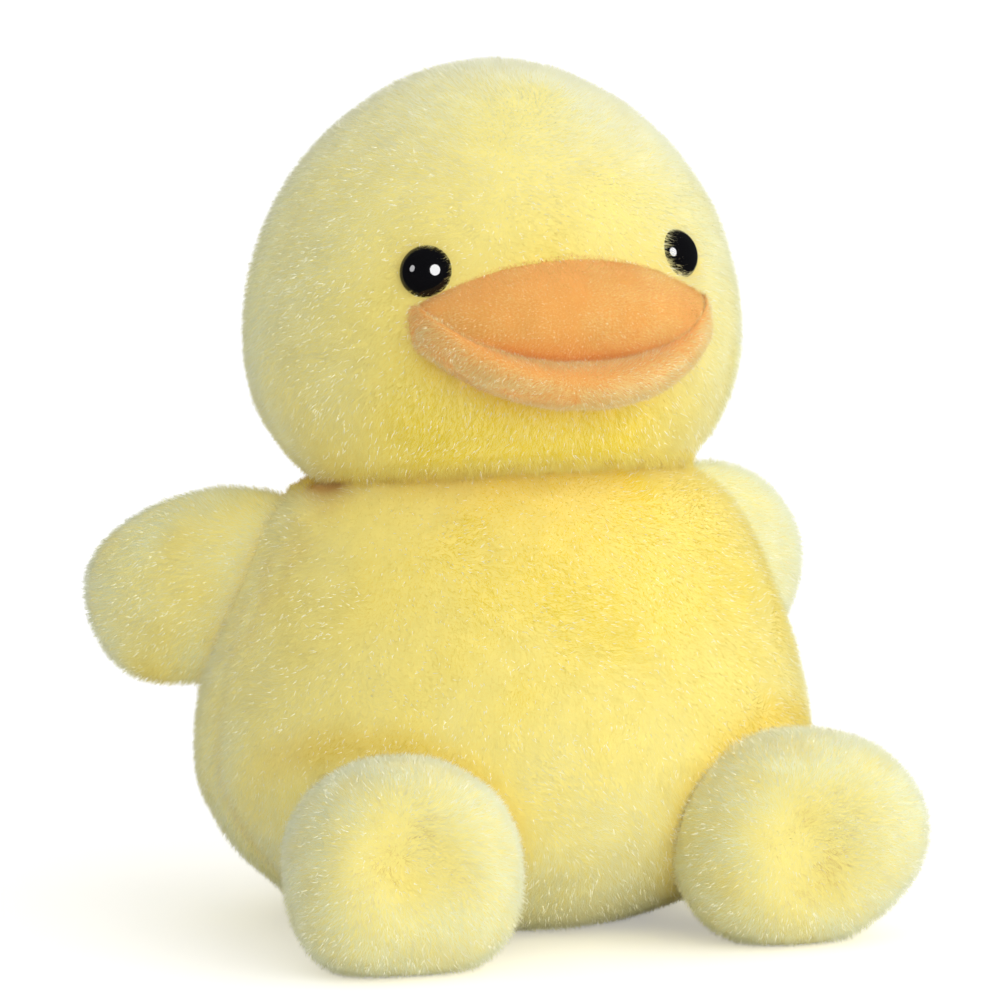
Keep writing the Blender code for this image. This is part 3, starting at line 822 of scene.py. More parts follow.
def side_seam(points):
    """Where a point lies across the side seam, in millimetres: the left one runs further back."""
    turn = longitude(points)
    low = np.clip((24.0 - points[..., 2] / MM) / 24.0, 0, 1)
    seam = np.where(turn > 0, 112.0 - 8.0 * low, 88.0 - 14.0 * low)
    return (np.abs(turn) - seam) * 0.72


def beside_side_seam(points, reach):
    """1 on the side seam at 17 mm of height, fading over reach, in mm, and over 20 mm of height."""
    lower = np.clip(1 - np.abs(points[..., 2] / MM - 17.0) / 20.0, 0, 1)
    return lower * bell(side_seam(points), reach)


def shoulder(points):
    """Share of the body's width that stays: it narrows over the last 8 mm below the neck seam."""
    under = -over_neck(points) / MM
    sideways = np.abs(np.sin(np.radians(longitude(points)))) ** 2
    return 1 - 0.11 * sideways * np.clip(1 - under / 8.0, 0, 1) ** 2


# %% Sink the pit beside the neck
PIT = np.array([-31.1, -10.4, 67.0]) * MM
PIT_INTO = unit(np.array([0.36, 0.92, -0.12]))
PIT_RADIUS = 3.1 * MM
PIT_SINK = 4.8 * MM


def pit_depth(points):
    """The hollow beside the neck where head, body and wing meet.

    It is exp(-(gap / 3.1 mm)^2), with the gap from the line that runs through it inwards, from
    8 mm before the pit to 16 mm behind it.
    """
    along = (points - PIT) @ PIT_INTO
    gap = gap_to(points - PIT, along[..., None] * PIT_INTO)
    return bell(gap, PIT_RADIUS) * (np.abs(along - 4 * MM) < 12 * MM)


def sink_in_pit(points):
    """Points pressed into the pit, most at its middle."""
    return points + PIT_INTO * (PIT_SINK * pit_depth(points))[..., None]


def shape_body(along=110, around=160):
    """The rings of the body, grooved at its sides, flat at the neck and the seat."""
    points = stuffed_surface(BODY_RINGS, BODY_LOW - PLUMP, BODY_HIGH + PLUMP, along, around)
    points[..., :2] *= shoulder(points)[..., None]
    out = unit(points - BODY_MIDDLE)
    groove = -0.5 * beside_side_seam(points, 2.2) * MM
    points = points + out * groove[..., None]
    points = press_to_plane(points, NECK, -NECK_AXIS, SEAM_GAP)
    points = sink_in_pit(points)
    points[..., 2] = np.maximum(points[..., 2], 0.0)
    return points


# %% Find the body's creases and paint their shade
WING_SEAM = np.array([[-33.0, -9.0, 61.0], [-42.5, -3.0, 42.0]]) * MM
LEG_MIDDLE = np.array([31.2, 14.7]) * MM
LEG_SEAM_HALF = np.array([17.5, 15.6]) * MM
LEG_SEAM_RADIUS = 16.5 * MM
NECK_RING_HALF = np.array([29.5, 28.0]) * MM
NECK_RING_BACK = 3 * MM


def shade_beside_wing(points):
    """Painted shade: 1 along the seam of the right wing on the body, fading unevenly over 4 mm."""
    way = WING_SEAM[1] - WING_SEAM[0]
    share = np.clip((points - WING_SEAM[0]) @ way / (way @ way), 0, 1)
    gap = gap_to(points - WING_SEAM[0], share[..., None] * way)
    return bell(gap, 4.0 * MM) * np.clip(0.55 + 0.6 * waves(points, 5 * MM, 33), 0, 1)


def beside_legs(points):
    """1 on the ring where a leg is sewn to the body, fading over 3 mm."""
    across, level = np.abs(points[..., 0]), points[..., 2]
    reach = np.hypot(
        (across - LEG_MIDDLE[0]) / LEG_SEAM_HALF[0], (level - LEG_MIDDLE[1]) / LEG_SEAM_HALF[1]
    )
    front = np.clip(-points[..., 1] / (12 * MM) - 0.7, 0, 1)
    outer = np.clip(0.5 + across / (24 * MM), 0, 1)
    return front * outer * bell((reach - 1) * LEG_SEAM_RADIUS, 3.0 * MM)


def body_crease_shade(points):
    """Painted shade: deep at the neck seam, in the pit beside it, round the legs, beside the right
    wing and along the side seams.
    """
    ring = np.hypot(
        points[..., 0] / NECK_RING_HALF[0], (points[..., 1] - NECK_RING_BACK) / NECK_RING_HALF[1]
    )
    neck = fade(-over_neck(points), 0.8 * MM) * np.clip(1.6 - (ring - 1) * 20, 0, 1)
    sewn = beside_legs(points) + shade_beside_wing(points) + beside_side_seam(points, 1.4)
    return np.clip(0.65 * neck + 1.2 * pit_depth(points) + 0.2 * sewn, 0, 1)


# %% Stuff the body


def body_held(points):
    """Pinned along the neck seam, the side seams and the seat."""
    side = (np.abs(side_seam(points)) < 2.4) & (points[..., 2] < 36 * MM)
    return (over_neck(points) > -2.5 * MM) | side | (points[..., 2] < 1.5 * MM)


def body_free(points):
    """0 at the neck seam and on the seat, and nearly 1 from 6 mm away."""
    return (1 - fade(-over_neck(points), 2 * MM)) * (1 - fade(points[..., 2], 2 * MM))


body = surface_piece("body", shape_body())
stuff(body, body_held, body_free, 0.9 * MM)
mark(body, "crease_shade", body_crease_shade)
body.data.materials.append(yellow_ground)
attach(body, "body")
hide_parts("body_skin", "body_filling", "pellet_bag")

# %% Lay the pile of the body
PILE_DENSITY = 15.8
PILE_LENGTH = 1.6 * MM
BLADE_WIDTH = 0.085 * MM


def bare_body(points):
    """No pile under the head, on the seat and down in the pit."""
    under_head = over_neck(points) > -0.1 * MM
    return under_head | (points[..., 2] < 0.05 * MM) | (pit_depth(points) > 0.4)


def comb_down(roots):
    """Brushed downwards, with slow swirls."""
    return np.array([0.0, 0.0, -1.0]) + 0.75 * sway(roots, (22, 22, 17), (11, 12, 13))


def even_length(roots):
    """Length of the pile, uneven by 12%."""
    return PILE_LENGTH * (1 + 0.12 * waves(roots, 9 * MM, 21))


def body_tone_and_shade(roots):
    """Partly tone, partly painted light: the belly, which faces forwards and up, is deep yellow,
    and so is the painted shade round the legs; flanks and back are lemon, with random patches.
    """
    front = np.clip(np.cos(np.radians(longitude(roots) - 4)), 0, 1) ** 0.7
    rise = 0.2 + 0.8 * np.clip((roots[:, 2] / MM - 8) / 42, 0, 1)
    patches = 0.06 * waves(roots, 14 * MM, 31) + 0.04 * waves(roots, 6 * MM, 32)
    return np.clip(rise * (0.3 + 0.7 * front) + 0.35 * beside_legs(roots) + patches, 0, 1)


def grow(
    piece, bare, comb, length=even_length, lean=48, width=BLADE_WIDTH, density=PILE_DENSITY,
    turned=None, **tufts
):
    """Roots on a skin and a blade on each, leaning by an angle in degrees.

    turned(roots, normals) gives other normals where the blades don't stand straight up.
    """
    roots, normals = scatter(piece, density * QUICK_SHARE, bare, rng)
    if turned:
        normals = turned(roots, normals)
    return roots, blades(roots, normals, comb, length, width, math.radians(lean), rng, **tufts)


mark(body, "tone_and_shade", body_tone_and_shade)
roots, grown = grow(body, bare_body, comb_down)
pile_pieces(
    "body_pile", grown, body_tone_and_shade(roots), body_crease_shade(roots), yellow_pile, "body",
    BODY_MIDDLE,
)

# %% [markdown]
# ## Head
#
# The head is a ball that is fullest at the cheeks, pressed flat on the neck seam. The eyes are
# pulled in a little by their shanks, so that the skin dips round them.

# %% Shape the head
HEAD_RINGS = (
    (0.08, 0.50, 0.52, 0.0),
    (0.26, 0.87, 0.88, 0.0),
    (0.50, 1.00, 1.00, 0.0),
    (0.74, 0.88, 0.88, 0.0),
    (0.92, 0.51, 0.52, 0.0),
)
HEAD_MIDDLE = np.array([0.0, 3.0, 84.0]) * MM
HEAD_HALF = np.array([35.7, 32.5, 1.0]) * MM
HEAD_CROWN = 39.8
HEAD_JOWL = 29.0
EYE_CENTRES = [np.mean(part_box(name), axis=0) for name in ("right_eye", "left_eye")]
EYE_RADIUS = 3.7 * MM
LIP_HALF_WIDTH = 22.9 * MM
LIP_LEVEL = 80.6 * MM
LIP_THICKNESS = 6.0 * MM
LIP_RISE = 9.0 * MM
LIP_CURL = 2.3


def shape_head(along=110, around=160):
    """The rings of the head, higher above its middle than below, flat at the neck."""
    points = stuffed_surface(HEAD_RINGS, -HEAD_HALF, HEAD_HALF, along, around)
    points[..., 2] *= np.where(points[..., 2] > 0, HEAD_CROWN, HEAD_JOWL)
    points = HEAD_MIDDLE + points * (1 + PLUMP / HEAD_HALF[0])
    return press_to_plane(points, NECK, NECK_AXIS, SEAM_GAP)


def gap_to_eyes(points):
    """Distance from the nearer eye's centre."""
    return np.minimum(*(gap_to(points, centre) for centre in EYE_CENTRES))


def lip_rise(across):
    """How far the lip's middle line rises: 9 mm times |x / half width|^2.3."""
    return LIP_RISE * np.abs(across / LIP_HALF_WIDTH) ** LIP_CURL


def head_crease_shade(points):
    """Painted shade: deep at the neck seam and round the eyes, and a painted shadow under the bill.
    """
    below = LIP_LEVEL - LIP_THICKNESS / 2 + lip_rise(points[..., 0]) - points[..., 2]
    corner = np.clip((1.1 - np.abs(points[..., 0]) / LIP_HALF_WIDTH) * 5, 0, 1)
    shadow_under_lip = fade(np.abs(below), 2.2 * MM) * corner * (points[..., 1] < -15 * MM)
    shade_round_eye = fade(gap_to_eyes(points) - EYE_RADIUS, 0.7 * MM)
    neck = fade(over_neck(points), 0.6 * MM)
    return np.clip(0.65 * neck + 0.36 * shadow_under_lip + 0.3 * shade_round_eye, 0, 1)


def head_held(points):
    """Pinned along the neck seam, at the eyes' shanks and along the seam over the crown."""
    crown = (np.abs(points[..., 0]) < 2.4 * MM) & (points[..., 1] > 14 * MM)
    return (over_neck(points) < 2.5 * MM) | (gap_to_eyes(points) < 1.3 * EYE_RADIUS) | crown


def head_free(points):
    """0 at the neck seam, and nearly 1 from 6 mm above it."""
    return 1 - fade(over_neck(points), 2 * MM)


head = surface_piece("head", shape_head())
stuff(head, head_held, head_free, 0.6 * MM)
mark(head, "crease_shade", head_crease_shade)
head.data.materials.append(yellow_ground)
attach(head, "head")
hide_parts("head_skin", "head_filling")

# %% Lay the pile of the head
def bare_head(points):
    """No pile over the neck and under the eyes."""
    return (over_neck(points) < 0.1 * MM) | (gap_to_eyes(points) < 1.08 * EYE_RADIUS)


def comb_head(roots):
    """Brushed from the crown down and back from the face, with slow swirls, and to the eyes."""
    rel = roots - (HEAD_MIDDLE + np.array([0, -14 * MM, 12 * MM]))
    flow = unit(rel * [1.0, 1.0, 0.4]) + np.array([0.0, 0.1, -0.9])
    flow = flow + 0.6 * sway(roots, (24, 24, 19), (41, 42, 43))
    for centre in EYE_CENTRES:
        near = bell(gap_to(roots, centre), 5 * MM)[:, None]
        flow = flow * (1 - near) + 0.4 * near * unit(centre - roots)
    return flow


def head_tone_and_shade(roots):
    """Partly tone, partly painted light: deep yellow on the face, which faces the front, and as
    painted shade under the chin; lemon at the back.
    """
    rel = unit(roots - HEAD_MIDDLE)
    face = np.clip(rel @ unit(np.array([-0.2, -0.95, -0.1])), 0, 1) ** 2
    chin = 0.7 * np.clip(-rel[:, 2] - 0.1, 0, 1)
    return np.clip(0.06 + 1.0 * face + chin + 0.08 * waves(roots, 13 * MM, 51), 0, 1)


mark(head, "tone_and_shade", head_tone_and_shade)
roots, grown = grow(head, bare_head, comb_head)
# Painted highlight: the crown is made paler with the glint's colour, as the light from above shows
# it.
crown = np.clip(unit(roots - HEAD_MIDDLE)[:, 2], 0, 1) ** 3
grown = (*grown[:2], np.maximum(grown[2], 0.45 * crown))
pile_pieces(
    "head_pile", grown, head_tone_and_shade(roots), head_crease_shade(roots), yellow_pile, "head",
    HEAD_MIDDLE,
)

# %% Overlap the neck seam
FRINGE_DENSITY = 26.0


def fringe(piece, side, length):
    """Extra blades within 1.5 mm of the neck seam that lean over it, from one side of it."""

    def away(points):
        """Further than 1.5 mm from the seam, and on the body's side in the pit."""
        height = over_neck(points) * side
        in_pit = (side < 0) & (pit_depth(points) > 0.25)
        return (height < 0.05 * MM) | (height > 1.5 * MM) | in_pit

    def comb(roots):
        """Brushed over the seam, with small swirls."""
        return -side * NECK_AXIS + 0.5 * sway(roots, (7, 7, 7), (111, 112, 113))

    def ragged(roots):
        """Length uneven by 30%, and shorter towards the pit."""
        return length * (1 + 0.3 * waves(roots, 3 * MM, 114)) * (1 - 0.8 * pit_depth(roots))

    def outwards(roots, normals):
        """Normals turned away from the axis of the neck."""
        return unit(normals + 0.8 * unit((roots - NECK) * [1, 1, 0]))

    return grow(
        piece, away, comb, ragged, lean=50, density=FRINGE_DENSITY, turned=outwards, glints=0.01
    )


for piece, own_body, slot, side, length in (
    (head, "head", "yellow_plush", 1, 1.9 * MM),
    (body, "body", "belly_plush", -1, 1.6 * MM),
):
    roots, grown = fringe(piece, side, length)
    # Painted shade along the neck seam, darker on the duck's right, the side away from the key
    # light.
    neck_shade = 0.25 + 0.3 * np.clip(-roots[:, 0] / (20 * MM), 0, 1)
    crease_shade = neck_shade * fade(np.abs(over_neck(roots)), 0.5 * MM)
    pile_pieces(
        own_body + "_seam_fringe", grown, np.full(len(roots), 0.8), crease_shade, yellow_pile, own_body,
        NECK,
    )

# %% [markdown]
# ## Limbs
#
# Wings, legs and tail are mittens sewn to the body. Each is a form of rings along its own axis.
# What would lie inside the body slides out along that axis until it rests on the body's
# surface, as a sewn-on limb does.


# %% Rest a limb on the body
def span_share(values):
    """Values as shares from 0, their least, to 1, their most."""
    return (values - values.min()) / np.ptp(values)


body_place, body_a, body_b, body_shift = ring_profile(BODY_RINGS, 400)
BODY_SIZE = (BODY_HIGH - BODY_LOW) / 2
body_level = BODY_LOW[2] + span_share(body_place) * (BODY_HIGH[2] - BODY_LOW[2])
body_half_x = body_a / body_a.max() * BODY_SIZE[0]
body_depth = np.ptp(np.concatenate([body_b + body_shift, body_shift - body_b])) / 2
body_half_y = body_b / body_depth * BODY_SIZE[1]


def body_halves(points, gap=0.0):
    """Half widths of the body, across and in depth, at the height of each point."""
    return (
        np.interp(points[..., 2], body_level, half) * shoulder(points) + gap
        for half in (body_half_x, body_half_y)
    )


def rest_on_body(points, along, gap=0.1 * MM):
    """Slide points out of the body along a direction.

    At its own level the body is an ellipse, so the way out is the larger root of a quadratic.
    Three rounds let the level follow.
    """
    moved = points.copy()
    for _ in range(3):
        half_x, half_y = body_halves(moved, gap)
        x, y = moved[..., 0] / half_x, moved[..., 1] / half_y
        dx, dy = along[0] / half_x, along[1] / half_y
        inside = (x**2 + y**2 < 1) & (moved[..., 2] < BODY_HIGH[2])
        square, half_linear, rest = dx**2 + dy**2, x * dx + y * dy, x**2 + y**2 - 1
        way = (-half_linear + np.sqrt(np.maximum(half_linear**2 - square * rest, 0))) / square
        moved = moved + np.where(inside, way, 0)[..., None] * along
    return moved


def body_distance(points):
    """Rough height above the body's surface, in metres."""
    half_x, half_y = body_halves(points)
    ratio = np.hypot(points[..., 0] / half_x, points[..., 1] / half_y)
    return (ratio - 1) * (half_x + half_y) / 2


# %% Sew a limb to the body
def bare_root(points):
    """No pile where a limb rests on the body, and in the pit."""
    return (body_distance(points) < 0.2 * MM) | (pit_depth(points) > 0.4)


def seam_span(piece, reach):
    """Where a limb's fabric bends: from the plane through the points that rest on the body to a
    parallel plane further out."""
    points = vertex_points(piece.data)
    resting = points[body_distance(points) < 0.3 * MM]
    middle = resting.mean(axis=0)
    outward = np.linalg.svd(resting - middle, full_matrices=False)[2][2]
    outward = outward * np.sign((points.mean(axis=0) - middle) @ outward)
    start = middle + np.percentile((resting - middle) @ outward, 80) * outward
    return start, start + reach * outward


def bend_at_seam(pieces):
    """Write each piece's placement into its vertices."""
    for piece in pieces:
        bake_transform(piece)


def root_crease_shade(points):
    """Painted shade: deep where a limb meets the body, and in the pit."""
    meeting = 0.45 * fade(body_distance(points), 0.9 * MM)
    return np.clip(meeting + 1.2 * pit_depth(points), 0, 1)


def root_held(points):
    """Pinned along the seam."""
    return body_distance(points) < 2.5 * MM


def root_free(points):
    """0 at the seam and on the floor, and nearly 1 from 6 mm away."""
    return (1 - fade(body_distance(points), 2 * MM)) * (1 - fade(points[..., 2], 1.5 * MM))


def limb_points(rings, size, tip, along, across, count=(72, 96)):
    """A limb's form of (width, height, length) along its own axis, placed with its tip at tip."""
    width, height, length = size
    low = np.array([-width / 2, -height / 2, -length])
    high = np.array([width / 2, height / 2, 0.0])
    points = stuffed_surface(rings, low, high, *count)
    return points @ frame_of(along, across).T + tip


def sew_limb(limb, prefix, held, depth, reach):
    """Stuff a limb, let it stand for its CAD solids and write its placement into its vertices.
    Gives the span where its fabric bends.
    """
    stuff(limb, held, root_free, depth)
    limb.data.materials.append(yellow_ground)
    span = seam_span(limb, reach)
    bend_at_seam([limb])
    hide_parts(prefix + "_skin", prefix + "_filling")
    return span


def cover_limb(prefix, grown, tone_and_shade, crease_shade, centre):
    """Put a limb's blades into pieces, with their placement written into their vertices."""
    covered = pile_pieces(
        prefix + "_pile", grown, tone_and_shade, crease_shade, yellow_pile, None, centre
    )
    bend_at_seam(covered)


def comb_along(direction, swirl):
    """Brushed along a limb."""
    return lambda roots: direction + swirl * sway(roots, (15, 15, 12), (61, 62, 63))


# %% Shape and cover the wings
WING_RINGS = (
    (0.07, 0.60, 0.66, 0.0),
    (0.32, 0.92, 0.97, 0.0),
    (0.64, 1.00, 1.00, 0.0),
    (0.90, 0.72, 0.76, 0.0),
)
WING_SIZE = np.array([16.6, 26.8, 37.0]) * MM
WING_TIP = np.array([54.8, 24.3, 42.5]) * MM
WING_SWEEP = math.radians(32.7)
WING_DROOP = math.radians(20.0)


def fill_shoulder(points, tip, along, side):
    """Swell the front half of a wing towards its root, where it is sewn over the shoulder."""
    forward = np.array([side * math.sin(WING_SWEEP), -math.cos(WING_SWEEP), 0.0])
    root_share = np.clip((tip - points) @ along / WING_SIZE[2], 0, 1) ** 1.5
    ahead = np.maximum((points - tip) @ forward, 0)
    return points + (0.75 * root_share * ahead)[..., None] * forward


def wing_tone_and_shade(points, side):
    """Partly tone, partly painted light: deeper as painted shade near the seam below the shoulder;
    the left wing faces away and is kept pale, as it looks in the light.
    """
    inner = bell(body_distance(points) / MM - 8.0, 6.0)
    below = np.clip((64 - points[:, 2] / MM) / 8, 0, 1)
    tone_and_shade = 0.03 + 0.45 * inner * below + 0.14 * waves(points, 9 * MM, 71)
    return np.clip(tone_and_shade * (1.0 if side < 0 else 0.2), 0, 1)


for prefix, side, brushed in (("right_wing", -1, 0.55), ("left_wing", 1, 0.0)):
    along = np.array(
        [
            side * math.cos(WING_DROOP) * math.cos(WING_SWEEP),
            math.cos(WING_DROOP) * math.sin(WING_SWEEP),
            -math.sin(WING_DROOP),
        ]
    )
    tip = WING_TIP * [side, 1, 1]
    points = limb_points(WING_RINGS, WING_SIZE, tip, along, np.cross(along, [0, 0, 1]))
    if side < 0:
        points = fill_shoulder(points, tip, along, side)
    wing = surface_piece(prefix, sink_in_pit(rest_on_body(points, along)))
    span = sew_limb(wing, prefix, root_held, 0.7 * MM, 9 * MM)

    def to_the_tip(roots, normals, along=along, brushed=brushed):
        """Normals bent along the wing, from 11 to 20 mm off the body."""
        further = np.clip((body_distance(roots) / MM - 11) / 9, 0, 1)[:, None]
        return unit(normals + brushed * further * along)

    roots, grown = grow(wing, bare_root, comb_along(along, 0.5), lean=44, turned=to_the_tip)
    mark(wing, "tone_and_shade", partial(wing_tone_and_shade, side=side))
    mark(wing, "crease_shade", root_crease_shade)
    tone_and_shade, crease_shade = wing_tone_and_shade(roots, side), root_crease_shade(roots)
    cover_limb(prefix, grown, tone_and_shade, crease_shade, tip - along * 18 * MM)

# %% Shape and cover the legs
LEG_RINGS = (
    (0.05, 0.46, 0.46, 0.0),
    (0.28, 0.72, 0.74, 0.0),
    (0.58, 1.00, 1.00, 0.0),
    (0.86, 0.96, 0.96, 0.0),
    (0.99, 0.56, 0.56, 0.0),
)
LEG_SPLAY = math.radians(4.0)
LEG_LENGTH = 40 * MM
LEG_HEIGHT = 30.4 * MM
SOLE_FRONT = -51.0 * MM
DIMPLE_DEPTH = 2.5 * MM
DIMPLE_RADIUS = 7.0 * MM


def round_dimple(points, dimple):
    """1 at the middle of the dimple in the sole, fading over 9 mm."""
    return bell(gap_to(points, dimple), 9 * MM)


def leg_tone_and_shade(points, dimple):
    """Deeper round the dimple in the sole: partly painted shade in the hollow, partly the colour of
    the pile parted there.
    """
    patches = 0.14 * waves(points, 8 * MM, 91)
    return np.clip(0.03 + 0.62 * round_dimple(points, dimple) + patches, 0, 1)


def leg_crease_shade(points, dimple):
    """Painted shade where the leg meets the body, and streaks round the dimple where pile parts:
    partly painted shade, partly the deeper colour of the parted pile.
    """
    streaks = waves(points * [1, 1, 2.4], 4.2 * MM, 92) + 0.8 * waves(points, 7 * MM, 94)
    parted = np.clip(1.3 * streaks - 0.6, 0, 0.45)
    return root_crease_shade(points) + round_dimple(points, dimple) * parted


def bare_leg(points):
    """No pile at the seam and under the leg."""
    return bare_root(points) | (points[..., 2] < 0.05 * MM)


def square_off(points, sole, width, height, inner, outer):
    """Push the lower corners of a foot out: its section's radius grows by a share times
    sin(2 angle)^2, which fades towards the hip."""
    across = (points[..., 0] - sole[0]) / width
    level = (points[..., 2] - sole[2]) / height
    corner = (2 * across * level / (across**2 + level**2 + 1e-9)) ** 2 * (level < 0)
    share = np.where(across * sole[0] > 0, outer, inner) * corner
    share = share * np.clip((-points[..., 1] / MM - 22) / 16, 0, 1)
    grown = points.copy()
    grown[..., ::2] = sole[::2] + (points[..., ::2] - sole[::2]) * (1 + share[..., None])
    return grown


for prefix, side, out, width, inner, outer, dimple in (
    ("right_leg", -1, 31.0, 32.6, 0.10, 0.13, (-3.0, 0.0, 2.6)),
    ("left_leg", 1, 31.5, 36.4, 0.09, -0.04, (-4.0, 0.0, -1.0)),
):
    along = np.array([side * math.sin(LEG_SPLAY), -math.cos(LEG_SPLAY), 0.0])
    sole = np.array([side * out * MM, SOLE_FRONT, LEG_MIDDLE[1]])
    size = (width * MM, LEG_HEIGHT, LEG_LENGTH)
    points = limb_points(LEG_RINGS, size, sole, along, np.array([1.0, 0, 0]))
    points = square_off(points, sole, width * MM / 2, LEG_HEIGHT / 2, inner, outer)
    dimple = sole + np.array(dimple) * MM
    pressed = DIMPLE_DEPTH * bell(gap_to(points, dimple), DIMPLE_RADIUS)
    points = rest_on_body(points - pressed[..., None] * along, along)
    points[..., 2] = np.maximum(points[..., 2], 0.0)
    leg = surface_piece(prefix, points)

    def leg_held(points, dimple=dimple):
        """Pinned at the hip and by the stitch in the dimple."""
        return root_held(points) | (gap_to(points, dimple) < 4 * MM)

    def comb_leg(roots, dimple=dimple, along=along):
        """Away from the dimple over the sole, and back along the leg behind it."""
        away = roots - dimple
        away = unit(away - (away @ along)[:, None] * along)
        swirls = 0.4 * sway(roots, (12, 12, 12), (81, 82, 83))
        return away - 0.5 * along + swirls + np.array([0, 0, -0.35])

    span = sew_limb(leg, prefix, leg_held, 0.7 * MM, 12 * MM)
    roots, grown = grow(leg, bare_leg, comb_leg)
    mark(leg, "tone_and_shade", partial(leg_tone_and_shade, dimple=dimple))
    tone_and_shade, crease_shade = leg_tone_and_shade(roots, dimple), leg_crease_shade(roots, dimple)
    cover_limb(prefix, grown, tone_and_shade, crease_shade, sole - along * 15 * MM)

# %% Shape and cover the tail
TAIL_RINGS = (
    (0.08, 0.86, 0.80, 0.0),
    (0.42, 1.00, 1.00, 0.0),
    (0.78, 0.62, 0.70, 0.0),
)
TAIL_SIZE = np.array([24.0, 11.0, 24.0]) * MM
TAIL_RISE = math.radians(24.0)
along = np.array([0.0, math.cos(TAIL_RISE), math.sin(TAIL_RISE)])
tip = np.array([0.0, 52.0, 38.0]) * MM
points = limb_points(TAIL_RINGS, TAIL_SIZE, tip, along, np.array([1.0, 0, 0]), (48, 72))
tail = surface_piece("tail", rest_on_body(points, along))
span = sew_limb(tail, "tail", root_held, 0.5 * MM, 6 * MM)
roots, grown = grow(tail, bare_root, comb_along(along, 0.4), lean=50)
tone_and_shade = np.clip(0.15 + 0.1 * waves(roots, 10 * MM, 95), 0, 1)
cover_limb("tail", grown, tone_and_shade, root_crease_shade(roots), tip - along * 10 * MM)

# %% [markdown]
# ## Bill
#
# The bill is a stuffed dome of short-pile fabric over a flat pad whose full rim shows below it
# like a lip. Its pile is only half a millimetre long, so the knit of the ground still shows as
# fine ribs across it.

# %% Shape the upper bill
BILL_RINGS = (
    (0.003, 0.36, 0.26, 0.0),
    (0.05, 0.44, 0.42, 0.0),
    (0.12, 0.60, 0.67, 0.0),
    (0.27, 0.86, 0.92, 0.0),
    (0.50, 1.00, 1.00, 0.0),
    (0.73, 0.86, 0.92, 0.0),
    (0.88, 0.60, 0.67, 0.0),
    (0.95, 0.44, 0.42, 0.0),
    (0.997, 0.36, 0.26, 0.0),
)
BILL_HALF = np.array([8.7, 13.4, 21.6]) * MM
BILL_MIDDLE = np.array([0.0, -23.2, 89.7]) * MM
BILL_DROP = 0.9 * MM


def head_half_widths(level):
    """Half widths of the head at a level, across and in depth."""
    place, a, b, _ = ring_profile(HEAD_RINGS, 400)
    height = span_share(place) * 2 - 1
    level_of = HEAD_MIDDLE[2] + height * MM * np.where(height > 0, HEAD_CROWN, HEAD_JOWL)
    return (
        np.interp(level, level_of, a / a.max() * HEAD_HALF[0]),
        np.interp(level, level_of, b / b.max() * HEAD_HALF[1]),
    )


def head_front(points, gap=0.0):
    """How far forwards the head's surface lies at each point: its section is an ellipse."""
    half_x, half_y = head_half_widths(points[..., 2])
    across = np.clip(points[..., 0] / (half_x + gap), -0.999, 0.999)
    return HEAD_MIDDLE[1] - (half_y + gap) * np.sqrt(1 - across**2)


def rest_on_head(points, gap=0.3 * MM):
    """Bring points that lie inside the head forwards to its surface."""
    moved = points.copy()
    moved[..., 1] = np.minimum(moved[..., 1], head_front(points, gap))
    return moved


def head_distance(points):
    """How far in front of the head's surface a point lies."""
    return head_front(points) - points[..., 1]


def shape_bill():
    """The rings of the bill lie from corner to corner, which droop by 0.9 mm."""
    points = stuffed_surface(BILL_RINGS, -BILL_HALF, BILL_HALF, 96, 96)
    points = np.stack([points[..., 2], points[..., 1], -points[..., 0]], axis=-1)
    points[..., 2] -= BILL_DROP * (points[..., 0] / BILL_HALF[2]) ** 2
    return rest_on_head(points + BILL_MIDDLE)


upper_bill = surface_piece("upper_bill", shape_bill())
upper_bill.data.materials.append(orange_ground)
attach(upper_bill, "head")
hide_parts("upper_bill_skin", "upper_bill_filling")

# %% Shape the lower bill
LIP_SECTION = (
    (1.16, 0.00),
    (0.94, 0.92),
    (0.55, 1.00),
    (-0.70, 0.90),
    (-1.00, 0.00),
    (-0.70, -0.90),
    (0.55, -1.00),
    (0.94, -0.92),
)
LIP_FRONT = -39.0 * MM
LIP_CORNER = -21.5 * MM
LIP_ROOT = -13.0 * MM


def shape_lip(along=120, around=64):
    """The pad: a rounded section carried from corner to corner, bent up and thicker at both."""
    out = np.sin(np.linspace(-np.pi / 2, np.pi / 2, along))
    reach = np.sqrt(np.maximum(1 - out**2, 0))
    front = LIP_CORNER + (LIP_FRONT - LIP_CORNER) * reach
    middle, half_depth = (front + LIP_ROOT) / 2, (LIP_ROOT - front) / 2
    end = np.minimum(1, reach * 3.2)
    steps = np.linspace(0, len(LIP_SECTION), around, endpoint=False)
    section = spline(np.array(LIP_SECTION), steps)
    forward, upward = (section / np.abs(section).max(0)).T
    x = np.repeat((LIP_HALF_WIDTH * out)[:, None], around, axis=1)
    y = middle[:, None] - (half_depth * end)[:, None] * forward
    height = LIP_THICKNESS / 2 * end * (0.95 + 0.05 * reach)
    corner = np.clip((np.abs(out) - 0.68) / 0.2, 0, 1)
    taller = 1 + 0.12 * (corner**2 * (3 - 2 * corner))[:, None] * (upward > 0)
    z = height[:, None] * taller * upward + LIP_LEVEL + lip_rise(x)
    return np.stack([x, y, z], axis=-1)


